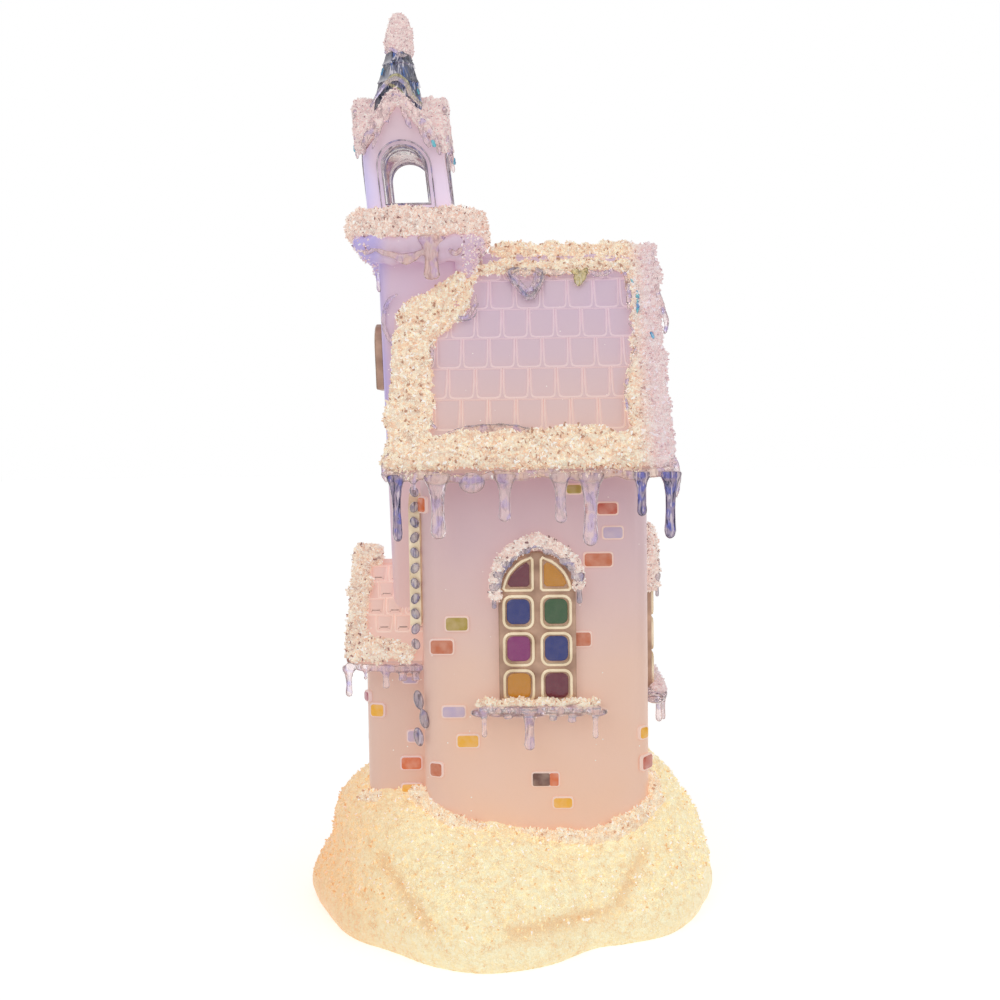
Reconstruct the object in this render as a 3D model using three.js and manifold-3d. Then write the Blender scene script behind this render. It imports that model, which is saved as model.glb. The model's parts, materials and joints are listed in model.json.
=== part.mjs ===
// A lighted village church: a frosted acrylic chapel with a leaning bell tower and a small
// porch, standing on a hollow snow mound that holds the batteries, the switch and the lamps.
// Millimetres, +Z up. The tower is at -X, and the long wall with the arched window at -Y.
import * as THREE from 'three';
import { mergeVertices } from 'three/addons/utils/BufferGeometryUtils.js';
import Module from 'manifold-3d';

const wasm = await Module();
wasm.setup();

// Fits
const seatGap = 0.3;
const runGap = 0.4;
const pilotGap = 0.2;
const bite = 0.6;
const cutPast = 10;

// Snow base
const baseReach = 70.5;
const baseOutline = [
  [1, 0], [0.936, -0.279], [0.84, -0.482], [0.715, -0.621], [0.53, -0.704], [0.387, -0.752],
  [0.174, -0.922], [-0.077, -0.993], [-0.302, -0.933], [-0.516, -0.774], [-0.722, -0.614],
  [-0.86, -0.369], [-0.98, -0.043], [-0.935, 0.312], [-0.78, 0.638], [-0.468, 0.865], [-0.085, 0.993],
  [0.284, 0.936], [0.61, 0.752], [0.865, 0.454],
];
const baseSteps = 46;
const endSnowZ = 49;
const endRise = 0.035;
const sideSnowZ = 33;
const sideFall = 0.08;
const frontLedge = 0.04;
const brimShare = 0.98;
const rimInner = 0.935;
const hollowTopZ = 24.2;
const houseSeatZ = 27;
const swellHeight = 1.4;
const swellSize = 8.6;
const swellPhase = [1.5, 4, 1];
const creaseDepth = 1.8;
const creaseHalf = 4.2;
const creases = [[[-39.5, 24.6], [-23, 11]], [[2, 10.6], [31, 10.6]], [[35, 12.8], [44, 24.6]]];
const lightHoleX = 18;
const lightHoleHalfX = 23;
const lightHoleHalfY = 27;
const towerHoleHalf = 9;

// Nave
const naveFrontX = -26.8;
const naveBackX = 46.5;
const naveHalfY = 33;
const naveCorner = 7;
const naveWall = 2.4;

// Nave roof
const roofFrontX = -35.5;
const roofBackX = 52;
const ridgeZ = 220.5;
const eaveZ = 148.5;
const eaveHalfY = 44;
const roofThick = 2.2;
const shinglePitchX = 8.72;
const shinglePitchDown = 11.8;
const shinglePhaseX = 4.7;
const shingleRows = 6;
const firstRowDown = 12.9;
const shingleThick = 1.1;
const shingleSunk = 0.1;
const shinglesEachSide = 4;
const fieldSteps = 28;
const roofSnowThick = 4.1;
const snowChamfer = 0.7;
const roofSnowOver = 0.5;
const bankReach = 4.3;
const ridgeSnowHeight = 4.2;
const ridgeSnowHalf = 2.4;
const ridgeSnowSteps = 8;

// Eave ice
const eaveIceThick = 3;
const eaveIceBand = 5.5;
const eaveIceEndFront = 1;
const eaveIceEndBack = 2.4;
const eaveIcicleDrop = 18;
const eaveIcicleHalf = 2;
const eaveIcicles = [
  [0.03, 1.05, 0.89], [0.097, 0.65, 0.08], [0.182, 1.25, 0.905], [0.302, 1.6, 0.1],
  [0.415, 1.05, 0.6], [0.613, 1, 0.633], [0.725, 1.15, 1], [0.897, 0.9, 0.522], [0.995, 1.05, 0.89],
];

// Tower
const towerFootX = -22.5;
const towerHalf = 13.25;
const towerWall = 2.2;
const towerCorner = 2.5;
const towerTopZ = 216.7;
const towerLean = 0.027;

// Cornice
const corniceHalf = 22.8;
const corniceIceHeight = 6.6;
const corniceSnowHeight = 10.2;
const apronBand = 2.5;
const apronThick = 2.2;
const apronIn = 3.4;

// Belfry
const belfryHalfFoot = 14.05;
const belfryHalfTop = 13.5;
const belfryEaveHeight = 17.7;
const gableRise = 16.1;
const belfryLean = 0.1;
const archWidth = 14.7;
const archSill = 1.3;
const archHeight = 20.5;
const belfryBack = 2.4;
const belfryRoofThick = 6.2;
const belfryRoofOver = 2.4;
const belfryRoofDrop = 2.6;
const belfryRoofCorner = 5;
const spireSocket = 5.5;

// Spire
const spireFootRadius = 10.4;
const spireTopRadius = 1.6;
const spireSunk = 8.2;
const spireHeight = 41;
const spireGroove = 0.35;
const spireSides = 8;
const spireLean = 0.012;
const capFootUp = 26.5;
const capHeight = 18.1;
const capRadius = 4.5;

// Porch
const porchFrontX = -46.6;
const porchHalfY = 21;
const porchWall = 2.2;
const porchCorner = 5;
const porchRidgeZ = 116.5;
const porchEaveZ = 85.5;
const porchEaveHalfY = 26;
const porchRoofFrontX = -51.5;
const porchRoofThick = 2;
const porchShingle = 7;
const porchSnowThick = 3.7;
const porchRakeSnow = 5;
const porchEaveSnow = 7;
const porchRidgeSnow = 4;
const porchRollRadius = 3.6;
const porchInto = 10;
const doorWidth = 17;
const doorHeight = 34.5;
const doorThick = 2.4;
const doorSillZ = 47.5;
const doorArchRise = 9;

// Arched stained glass windows
const windowX = 10.6;
const windowSillZ = 73;
const windowHalf = 12.35;
const windowSpring = 35.5;
const windowRise = 13.6;
const windowDepth = 3.6;
const windowLand = 0.8;
const paneWidth = 8.6;
const paneHeight = 9.5;
const panePitchX = 12;
const panePitchZ = 11.9;
const paneFirstZ = 6;
const paneCorner = 2.2;
const paneRim = 0.7;
const lancetBorder = 1.9;
const hoodRise = 5.4;
const hoodSide = 2.9;
const hoodDepth = 5.6;
const sillHalf = 18.4;
const sillHeight = 5.4;
const sillLip = 2.3;
const sillDepth = 7.6;
const sillApron = 2.4;
const rimProud = 0.9;
const sheetThick = 1.4;
const lensThick = 2.6;
const lensProud = 1.8;

// Narrow windows beside the porch
const slitInset = 8.8;
const slitHalf = 3.8;
const slitSillZ = 97.5;
const slitSpring = 36;
const slitRise = 7;
const slitDepth = 3.6;

// Tower window
const towerWindowZ = 175;
const towerWindowHalf = 6.4;
const towerWindowSpring = 14;
const towerWindowRise = 8.6;
const towerWindowDepth = 2.9;

// Corner ice drops
const cornerDropRadius = 2.1;
const cornerDropZ = 60;
const cornerDropHeight = 14;

// Painted bricks moulded on the walls: place along the wall, height, width, tallness
const brickProud = 0.5;
const brickCorner = 0.7;
const naveBricks = [
  [-15.2, 98.8, 7.6, 4.8], [-20.1, 90.6, 7.8, 4.8], [-16.6, 69.4, 7.6, 4.2],
  [-12.2, 60.7, 7.2, 4.2], [12.7, 48, 8.8, 4.8], [18.3, 40.4, 6.2, 3.6],
  [33.3, 135.3, 6.8, 4.2], [34.9, 127, 6.8, 4.4], [30.3, 119, 9, 4.8], [27.3, 93.6, 7.4, 4.8],
];
const porchBricks = [[-34.5, 52.5, 6.6, 4.2], [-32, 65.5, 5.4, 3.8], [-40.5, 73.5, 5, 4]];
const towerBricks = [[-7, 181, 4, 5], [-5, 158, 5.6, 4.4]];

// Power and light
const cellDiameter = 14.5;
const cellLength = 49.2;
const cellNub = 1.3;
const cellPitch = 15.4;
const cellCount = 3;
const springLength = 4.2;
const springTurns = 3;
const springWire = 0.7;
const contactSheet = 0.5;
const boxWall = 1.5;
const boxCentreX = 10;
const cellLift = 0.8;
const plateZ = 2.5;
const plateThick = 2;
const doorPlateThick = 1.8;
const screwRadius = 1.3;
const screwHeadRadius = 2.7;
const bossRadius = 3.6;
const bossShare = 0.72;
const pilotEnd = 4;
const screwHead = 1.4;
const screwLength = 10;
const tabHalf = 3;
const tabThick = 1.2;
const tabRiser = 2;
const tabReach = 1.8;
const notchHeight = 4.4;
const ribHalf = 0.35;
const fingerLength = 12;
const fingerHalf = 5.8;
const fingerSlot = 0.8;
const switchX = -34;
const switchTravel = 4;
const switchHeight = 6.4;
const switchWall = 1.5;
const flangeHalfX = 2.3;
const flangeHalfY = 2.6;
const flangeThick = 2.3;
const knobLength = 4;
const knobWidth = 3;
const knobFootZ = 1;
const boardHalfX = 20;
const boardHalfY = 18;
const boardX = 16;
const boardThick = 1.4;
const lampRadius = 2.5;
const lampHeight = 8.4;
const leadRadius = 0.6;

// Worked out from the driving sizes
const roofSlope = Math.atan2(ridgeZ - eaveZ, eaveHalfY);
const roofLength = Math.hypot(ridgeZ - eaveZ, eaveHalfY);
const porchSlope = Math.atan2(porchRidgeZ - porchEaveZ, porchEaveHalfY);
const roofAtTowerZ = ridgeZ - (towerHalf / eaveHalfY) * (ridgeZ - eaveZ);
const towerDown = (towerHalf / eaveHalfY) * roofLength + 5 * seatGap;
const naveMidX = (naveFrontX + naveBackX) / 2;
const naveHalfX = (naveBackX - naveFrontX) / 2;
const houseFootZ = houseSeatZ + seatGap;
const slitY = naveHalfY - slitInset;
const towerTopX = towerFootX - towerLean * (towerTopZ - houseFootZ);
const towerBackX = towerTopX + towerHalf + 5 * seatGap;
const corniceBackX = towerTopX + 1.02 * corniceHalf + seatGap;
const corniceZ = towerTopZ + seatGap;
const corniceSnowZ = corniceZ + corniceIceHeight + seatGap;
const belfryZ = corniceSnowZ + corniceSnowHeight + seatGap;
const belfryX = towerTopX - belfryBack;
const belfrySlope = Math.atan2(gableRise, belfryHalfTop);
const gableZ = belfryZ + belfryEaveHeight + gableRise;
const spireFootZ = gableZ - spireSunk;
const capFootZ = spireFootZ + capFootUp;
const plateTopZ = plateZ + plateThick;
const cellZ = plateTopZ + cellLift + cellDiameter / 2;
const boxFootZ = plateTopZ + seatGap;
const boxTopZ = cellZ + cellDiameter / 2 + runGap + boxWall;
const boxInnerHalfX = (cellLength + cellNub + springLength + 2 * contactSheet) / 2 + 3 * seatGap;
const boxInnerHalfY = ((cellCount - 1) * cellPitch + cellDiameter) / 2 + runGap;
const boardZ = boxTopZ + seatGap;

const finish = {
  snow: { color: 0xfaeacf, roughness: 0.95, metalness: 0 },
  acrylic: { color: 0xd6c0c8, roughness: 0.5, metalness: 0 },
  ice: { color: 0xe6e2f2, roughness: 0.08, metalness: 0 },
  gold: { color: 0xa89878, roughness: 0.4, metalness: 0.8 },
  glass: { color: 0x8a3a78, roughness: 0.2, metalness: 0 },
  wood: { color: 0x9a6a44, roughness: 0.6, metalness: 0 },
  plastic: { color: 0xe9e7e2, roughness: 0.6, metalness: 0 },
  dark: { color: 0x26262a, roughness: 0.5, metalness: 0 },
  steel: { color: 0xb4b4b8, roughness: 0.3, metalness: 0.9 },
  cell: { color: 0x3f6fa8, roughness: 0.4, metalness: 0.3 },
  board: { color: 0x2f6a44, roughness: 0.6, metalness: 0 },
  lamp: { color: 0xfff2c8, roughness: 0.15, metalness: 0 },
  red: { color: 0xb02a24, roughness: 0.5, metalness: 0 },
};

const church = new THREE.Group();

function toSolid(geometry) {
  const bare = geometry.index ? geometry.toNonIndexed() : geometry.clone();
  bare.deleteAttribute('normal');
  bare.deleteAttribute('uv');
  const merged = mergeVertices(bare, 1e-4);
  const vertProperties = merged.attributes.position.array;
  const triVerts = new Uint32Array(merged.index.array);
  return new wasm.Manifold(new wasm.Mesh({ numProp: 3, vertProperties, triVerts }));
}

function addPiece(name, solid, look, parent = church) {
  const found = solid.getMesh();
  const geometry = new THREE.BufferGeometry();
  geometry.setAttribute('position', new THREE.BufferAttribute(found.vertProperties.slice(), 3));
  geometry.setIndex(new THREE.BufferAttribute(found.triVerts.slice(), 1));
  geometry.computeVertexNormals();
  const mesh = new THREE.Mesh(geometry, new THREE.MeshStandardMaterial(finish[look]));
  mesh.name = name;
  parent.add(mesh);
  return mesh;
}

function unite(solids) {
  return solids.reduce((sum, next) => sum.add(next));
}

// A closed skin through rings of points that follow each other upwards, each running
// anticlockwise seen from above, with a flat fan over each end.
function loft(rings) {
  const count = rings[0].length;
  const points = rings.flat();
  const faces = [];
  for (let ring = 0; ring + 1 < rings.length; ring += 1) {
    for (let i = 0; i < count; i += 1) {
      const a = ring * count + i;
      const b = ring * count + ((i + 1) % count);
      faces.push(a, b, b + count, a, b + count, a + count);
    }
  }
  const middle = (ring) => ring.reduce((sum, p) => sum.add(p), new THREE.Vector3()).divideScalar(count);
  const foot = points.push(middle(rings[0])) - 1;
  const head = points.push(middle(rings[rings.length - 1])) - 1;
  const last = (rings.length - 1) * count;
  for (let i = 0; i < count; i += 1) {
    const next = (i + 1) % count;
    faces.push(foot, next, i, head, last + i, last + next);
  }
  const geometry = new THREE.BufferGeometry().setFromPoints(points);
  geometry.setIndex(faces);
  return toSolid(geometry);
}

function roundedRect(halfX, halfY, radius, steps = 3) {
  if (!steps) {
    return [[1, -1], [1, 1], [-1, 1], [-1, -1]].map(([x, y]) => new THREE.Vector2(x * halfX, y * halfY));
  }
  const points = [];
  const turns = [[1, -1, -90], [1, 1, 0], [-1, 1, 90], [-1, -1, 180]];
  for (const [sideX, sideY, from] of turns) {
    for (let i = 0; i <= steps; i += 1) {
      const angle = THREE.MathUtils.degToRad(from + (90 * i) / steps);
      const x = sideX * (halfX - radius) + radius * Math.cos(angle);
      const y = sideY * (halfY - radius) + radius * Math.sin(angle);
      points.push(new THREE.Vector2(x, y));
    }
  }
  return points;
}

function atHeight(points, z, x = 0, y = 0) {
  return points.map((p) => new THREE.Vector3(p.x + x, p.y + y, z));
}

function column(points, z0, z1, x = 0, y = 0) {
  return loft([atHeight(points, z0, x, y), atHeight(points, z1, x, y)]);
}

function block(x0, x1, y0, y1, z0, z1) {
  const box = new THREE.BoxGeometry(x1 - x0, y1 - y0, z1 - z0);
  return toSolid(box.translate((x0 + x1) / 2, (y0 + y1) / 2, (z0 + z1) / 2));
}

function rod(radius, z0, z1, x = 0, y = 0, sides = 12) {
  const shape = new THREE.CylinderGeometry(radius, radius, z1 - z0, sides);
  return toSolid(shape.rotateX(Math.PI / 2).translate(x, y, (z0 + z1) / 2));
}

// Extrudes an outline upwards from z = 0, with a chamfer that stays inside the depth.
function slab(outline, depth, holes = [], chamfer = 0) {
  const shape = new THREE.Shape(outline);
  shape.holes = holes.map((hole) => new THREE.Path(hole));
  const bevel = { bevelEnabled: chamfer > 0, bevelSegments: 1, bevelThickness: chamfer };
  const size = { bevelSize: chamfer, bevelOffset: -chamfer, depth: depth - 2 * chamfer };
  const body = new THREE.ExtrudeGeometry(shape, { ...bevel, ...size, curveSegments: 1 });
  return body.translate(0, 0, chamfer);
}

// A slab whose outline stands upright, seen from -Y: its depth runs from y = 0 towards -Y.
function uprightSlab(outline, depth, holes = [], chamfer = 0) {
  return toSolid(slab(outline, depth, holes, chamfer).rotateX(Math.PI / 2));
}

// A profile across the building, in Y and Z, run along X.
function profileAlongX(profile, x0, x1) {
  const outline = profile.map(([y, z]) => new THREE.Vector2(y, z));
  const body = slab(outline, x1 - x0).rotateX(Math.PI / 2).rotateZ(Math.PI / 2);
  return toSolid(body.translate(x0, 0, 0));
}

function wireSection(radius, sides) {
  const points = [];
  for (let i = 0; i < sides; i += 1) {
    const angle = (2 * Math.PI * i) / sides;
    points.push(new THREE.Vector2(radius * Math.cos(angle), radius * Math.sin(angle)));
  }
  return new THREE.Shape(points);
}

function wireAlong(points, radius, sides, steps) {
  const extrudePath = new THREE.CatmullRomCurve3(points);
  const run = { steps, extrudePath, bevelEnabled: false };
  return toSolid(new THREE.ExtrudeGeometry(wireSection(radius, sides), run));
}

function leaned(solid, lean) {
  const found = solid.getMesh();
  const geometry = new THREE.BufferGeometry();
  geometry.setAttribute('position', new THREE.BufferAttribute(found.vertProperties.slice(), 3));
  geometry.setIndex(new THREE.BufferAttribute(found.triVerts.slice(), 1));
  return toSolid(geometry.applyMatrix4(new THREE.Matrix4().makeShear(0, 0, 0, 0, -lean, 0)));
}

function pointedArch(half, spring, rise, steps = 4, inset = 0) {
  const radius = (half * half + rise * rise) / (2 * half);
  const reach = Math.atan2(rise, radius - half);
  const width = half - inset;
  const points = [new THREE.Vector2(-width, inset), new THREE.Vector2(width, inset)];
  for (let i = 0; i <= steps; i += 1) {
    const angle = (Math.min(reach, Math.PI / 2) * i) / steps;
    const x = half - radius + (radius - inset) * Math.cos(angle);
    points.push(new THREE.Vector2(Math.max(x, 0), spring + (radius - inset) * Math.sin(angle)));
  }
  const left = points.slice(2, -1).reverse().map((p) => new THREE.Vector2(-p.x, p.y));
  points[points.length - 1].x = 0;
  return points.concat(left);
}

// A band of ice seen from the front, its top at y = 0, with round-tipped icicles below.
function icicleOutline(x0, x1, band, icicles) {
  const points = [new THREE.Vector2(x1, 0), new THREE.Vector2(x0, 0), new THREE.Vector2(x0, -band * 0.7)];
  const shape = [[-1.25, 0.03], [-0.66, 0.88]];
  for (const { at, half, drop } of icicles) {
    const down = (side) => ([u, v]) => new THREE.Vector2(at + side * u * half, -band - v * drop);
    points.push(...shape.map(down(1)), new THREE.Vector2(at, -band - drop));
    points.push(...shape.map(down(-1)).reverse());
  }
  points.push(new THREE.Vector2(x1, -band * 0.7));
  return points.filter((p) => p.x >= x0 && p.x <= x1);
}

// Snow base
const baseCurve = new THREE.CatmullRomCurve3(
  baseOutline.map(([x, y]) => new THREE.Vector3(x * baseReach, y * baseReach, 0)), true, 'centripetal',
);
const basePoints = baseCurve.getSpacedPoints(baseSteps).slice(0, baseSteps).reverse();
const rimPoints = basePoints.filter((p, i) => i % 2 === 0);

function baseRing(points, share, z, inset = 0) {
  return points.map((p) => {
    const reach = p.length();
    const size = (reach * share - inset) / reach;
    return new THREE.Vector3(p.x * size, p.y * size, z);
  });
}

// The mound is high at both ends of the church, and falls towards +X along its sides.
function moundTop(p) {
  const end = (Math.abs(p.x) / p.length()) ** 4;
  return (sideSnowZ - sideFall * p.x) * (1 - end) + (endSnowZ + endRise * p.x) * end;
}

// How far the snow swells outwards at a place on the mound.
function swell(p) {
  const [u, v, w] = p.toArray().map((value, i) => value / swellSize + swellPhase[i]);
  const across = Math.sin(u + 1.2 * Math.sin(0.6 * v + 0.5 * w));
  const deep = Math.sin(0.9 * v + 1.1 * Math.sin(0.7 * w - 0.4 * u));
  return swellHeight * (across * deep + 0.5 * Math.sin(1.2 * w + 0.9 * Math.sin(0.8 * u)));
}

// How deep the near side's creases are at a place on the mound.
function crease(p) {
  if (p.y > 0) {
    return 0;
  }
  const here = new THREE.Vector2(p.x, p.z);
  const depths = creases.map(([from, to]) => {
    const start = new THREE.Vector2(...from);
    const run = new THREE.Vector2(...to).sub(start);
    const share = THREE.MathUtils.clamp(here.clone().sub(start).dot(run) / run.lengthSq(), 0, 1);
    return Math.exp(-((here.distanceTo(start.addScaledVector(run, share)) / creaseHalf) ** 2));
  });
  return creaseDepth * Math.max(...depths);
}

function moundRing(share, rise) {
  return basePoints.map((p) => {
    const towardsFront = Math.max(0, -p.x / p.length()) ** 2;
    const ledge = frontLedge * towardsFront * Math.exp(-(((rise - 0.42) / 0.14) ** 2));
    const inwards = share - ledge;
    const place = new THREE.Vector3(p.x * inwards, p.y * inwards, rise * moundTop(p));
    const calm = THREE.MathUtils.clamp((place.z - 3) / 12, 0, 1);
    const out = new THREE.Vector3(p.x, p.y, 0).setLength(1 - rise * 0.8).setZ(rise);
    return place.addScaledVector(out.normalize(), swell(place) * calm - crease(place));
  });
}

function screwSpots() {
  return [40, 140, 220, 320].map((degrees) => {
    const way = THREE.MathUtils.degToRad(degrees);
    const aim = new THREE.Vector3(Math.cos(way), Math.sin(way), 0);
    const hit = basePoints.reduce((best, p) => (p.angleTo(aim) < best.angleTo(aim) ? p : best));
    return hit.clone().multiplyScalar(bossShare);
  });
}

const nearTower = { half: towerHalf + seatGap, corner: towerCorner };
const towerEnvelope = leaned(
  column(roundedRect(nearTower.half, nearTower.half, nearTower.corner), 0, towerTopZ),
  towerLean,
).translate([towerFootX + towerLean * houseFootZ, 0, 0]);

// The room that the cornice takes where it sits in a notch of the roof's ridge.
const underCornice = block(
  towerTopX - 2 * corniceHalf, corniceBackX, -corniceHalf, corniceHalf,
  towerTopZ, corniceSnowZ + corniceSnowHeight,
);

function makeBase() {
  const profile = [
    [1, 0.09], [0.994, 0.2], [0.978, 0.3], [0.95, 0.42], [0.91, 0.56], [0.86, 0.7], [0.8, 0.82],
    [0.73, 0.91], [0.65, 0.97], [0.4, 1],
  ];
  const brim = baseRing(basePoints, brimShare, 0);
  const outer = loft([brim, ...profile.map(([share, rise]) => moundRing(share, rise))]);
  const inside = [[rimInner, -1], [rimInner, 7], [0.88, 14], [0.78, hollowTopZ]];
  const hollow = loft(inside.map(([share, z]) => baseRing(rimPoints, share, z)));
  const nave = roundedRect(naveHalfX + seatGap, naveHalfY + seatGap, naveCorner);
  const houseFoot = column(nave, houseSeatZ, endSnowZ + cutPast, naveMidX);
  const porchFoot = block(
    porchFrontX - seatGap, naveMidX, -porchHalfY - seatGap, porchHalfY + seatGap,
    houseSeatZ, endSnowZ + cutPast,
  );
  const lightHole = block(
    lightHoleX - lightHoleHalfX, lightHoleX + lightHoleHalfX, -lightHoleHalfY, lightHoleHalfY,
    hollowTopZ - bite, houseSeatZ + bite,
  );
  const towerHole = block(
    towerFootX - towerHoleHalf, towerFootX + towerHoleHalf, -towerHoleHalf, towerHoleHalf,
    hollowTopZ - bite, houseSeatZ + bite,
  );
  let shell = outer.subtract(hollow);
  for (const spot of screwSpots()) {
    shell = shell.add(rod(bossRadius, plateTopZ + seatGap, hollowTopZ + bite, spot.x, spot.y));
    shell = shell.subtract(rod(screwRadius + pilotGap, plateTopZ, hollowTopZ - pilotEnd, spot.x, spot.y, 8));
  }
  const rooms = unite([houseFoot, porchFoot, lightHole, towerHole]);
  addPiece('base_shell', shell.subtract(rooms), 'snow');
}

// A sheet of bricks on a wall that faces -Y, at the wall's outer face.
function brickPads(bricks, faceY) {
  return bricks.map(([x, z, width, tall]) => {
    const pad = uprightSlab(roundedRect(width / 2, tall / 2, brickCorner, 0), brickProud + bite);
    return pad.translate([x, faceY + bite, z]);
  });
}

// Everything below a gabled roof surface, from well under the floor.
function underRoof(apexZ, slope, half, x0, x1) {
  const drop = half * Math.tan(slope);
  const floor = Math.min(0, apexZ - drop) - cutPast;
  const profile = [[-half, floor], [half, floor], [half, apexZ - drop], [0, apexZ], [-half, apexZ - drop]];
  return profileAlongX(profile, x0, x1);
}

function archHole(half, spring, rise, inset, deep) {
  return uprightSlab(pointedArch(half, spring, rise, 4, inset), 2 * deep).translate([0, deep, 0]);
}

const windowPlaces = [
  { name: 'near', x: windowX, y: -naveHalfY, turn: 0 },
  { name: 'back', x: naveBackX, y: 0, turn: 90 },
  { name: 'far', x: 2 * naveMidX - windowX, y: naveHalfY, turn: 180 },
];
const slitPlaces = [
  { name: 'near', x: naveFrontX, y: -slitY, turn: -90 },
  { name: 'far', x: naveFrontX, y: slitY, turn: -90 },
];

function makeNaveWalls() {
  const outer = column(roundedRect(naveHalfX, naveHalfY, naveCorner, 4), houseFootZ, ridgeZ, naveMidX);
  const room = roundedRect(naveHalfX - naveWall, naveHalfY - naveWall, naveCorner - naveWall, 3);
  const inner = column(room, 0, ridgeZ + bite, naveMidX);
  const apex = ridgeZ - (roofThick + seatGap) / Math.cos(roofSlope);
  const under = underRoof(apex, roofSlope, eaveHalfY, naveFrontX - bite, naveBackX + bite);
  let walls = outer.subtract(inner).intersect(under);
  walls = unite([walls, ...brickPads(naveBricks, -naveHalfY)]);
  for (const { x, y, turn } of windowPlaces) {
    const hole = archHole(windowHalf, windowSpring, windowRise, windowLand, 6);
    walls = walls.subtract(hole.rotate([0, 0, turn]).translate([x, y, windowSillZ]));
  }
  for (const { x, y, turn } of slitPlaces) {
    const hole = archHole(slitHalf, slitSpring, slitRise, 1.2, 5);
    walls = walls.subtract(hole.rotate([0, 0, turn]).translate([x, y, slitSillZ]));
  }
  addPiece('nave_walls', walls.subtract(towerEnvelope), 'acrylic');
}

// The edge of the bare shingle field on the near slope, up to the tower's corner and on from it:
// the share of the roof's length, and of the way down from the ridge.
const fieldEdge = [
  [0.15, 0.877], [0.329, 0.837], [0.473, 0.852], [0.617, 0.832], [0.76, 0.844], [0.873, 0.868],
  [0.855, 0.735], [0.867, 0.623], [0.898, 0.437], [0.889, 0.245], [0.886, 0.107], [0.791, 0.095],
  [0.634, 0.119], [0.44, 0.102], [0.317, 0.109],
];
const fieldFrontEdge = [[0.141, 0.517], [0.154, 0.699]];
const fieldMiddle = [0.52, 0.474];

// Where the edge passes the tower: how far behind it, and how far below where it meets the roof.
const fieldByTower = [[0.26, -0.82], [0.17, -0.29], [-0.12, 0.2], [-0.58, 0.54]];

function onRoof([along, down]) {
  return new THREE.Vector2(roofFrontX + along * (roofBackX - roofFrontX), -down * roofLength);
}

function byTower([along, down]) {
  return new THREE.Vector2(towerBackX + along * towerHalf, -towerDown - down * towerHalf);
}

function fieldPoints(grow) {
  const edge = [...fieldEdge.map(onRoof), ...fieldByTower.map(byTower), ...fieldFrontEdge.map(onRoof)];
  const curve = new THREE.SplineCurve([...edge, edge[0]]);
  return curve.getPoints(fieldSteps).slice(0, fieldSteps).map((p) => {
    const out = p.clone().sub(onRoof(fieldMiddle));
    return p.clone().add(out.setLength(grow));
  });
}

// Lays a solid that is drawn flat, ridge at y = 0 and eave towards -Y, on the near slope.
function onSlope(solid, apexZ, slope) {
  return solid.rotate([THREE.MathUtils.radToDeg(slope), 0, 0]).translate([0, 0, apexZ]);
}

// A shingle drawn flat, its upper end sunk and its lower end standing proud by its thickness.
function shingle(width, long, thick) {
  const half = width / 2 - seatGap / 2;
  const round = width * 0.22;
  const turn = [[0, round], [round, 0]];
  const outline = [
    [half, long * 0.1], [-half, long * 0.1], ...turn.map(([x, y]) => [x - half, y - long]),
    ...turn.map(([x, y]) => [half - x, y - long]).reverse(),
  ];
  const body = toSolid(slab(outline.map(([x, y]) => new THREE.Vector2(x, y)), thick));
  const tilt = THREE.MathUtils.radToDeg(Math.atan2(thick, long));
  return body.translate([0, 0, -thick]).rotate([-tilt, 0, 0]);
}

// A roof of two slopes of even thickness.
function roofSheet(apexZ, slope, half, thick, x0, x1) {
  const under = underRoof(apexZ - thick / Math.cos(slope), slope, half + cutPast, x0 - bite, x1 + bite);
  return underRoof(apexZ, slope, half, x0, x1).subtract(under);
}

// A prism on the near slope that stands well above and below the roof's skin.
function fieldPrism(grow) {
  return toSolid(slab(fieldPoints(grow), 2 * cutPast)).translate([0, 0, -cutPast]);
}

function makeNaveRoof() {
  const tiles = [];
  for (let row = 0; row < shingleRows; row += 1) {
    const shift = row % 2 ? shinglePitchX / 2 : 0;
    const down = firstRowDown + row * shinglePitchDown;
    for (let step = -shinglesEachSide; step <= shinglesEachSide; step += 1) {
      const tile = shingle(shinglePitchX, shinglePitchDown, shingleThick);
      const x = shinglePhaseX + shift + step * shinglePitchX;
      tiles.push(tile.translate([x, shinglePitchDown - down, -shingleThick * shingleSunk]));
    }
  }
  const laid = onSlope(unite(tiles).intersect(fieldPrism(-seatGap)), ridgeZ, roofSlope);
  const sheet = roofSheet(ridgeZ, roofSlope, eaveHalfY, roofThick, roofFrontX, roofBackX);
  const roof = unite([sheet, laid, laid.mirror([0, 1, 0])]);
  addPiece('nave_roof', roof.subtract(towerEnvelope).subtract(underCornice), 'acrylic');
}

// Snow heaped against the tower's near face, falling from the cornice to the front rake.
function towerBank() {
  const faceX = towerFootX - towerLean * (roofAtTowerZ - houseFootZ);
  const outline = [
    [-0.58, -0.74], [0.4, -0.44], [0.66, 0.02], [1, 0.43], [1.13, 0.77], [1.13, 1.09], [0.92, 1.06],
    [0.54, 0.77], [0.04, 0.51], [-0.33, 0.26], [-0.56, -0.06],
  ];
  const points = outline.map(([x, z]) => (
    new THREE.Vector2(faceX + x * towerHalf, roofAtTowerZ + z * towerHalf)
  ));
  const depth = towerHalf / 2 + bankReach;
  return uprightSlab(points, depth, [], 0.9).translate([0, -towerHalf / 2, 0]);
}

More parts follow.
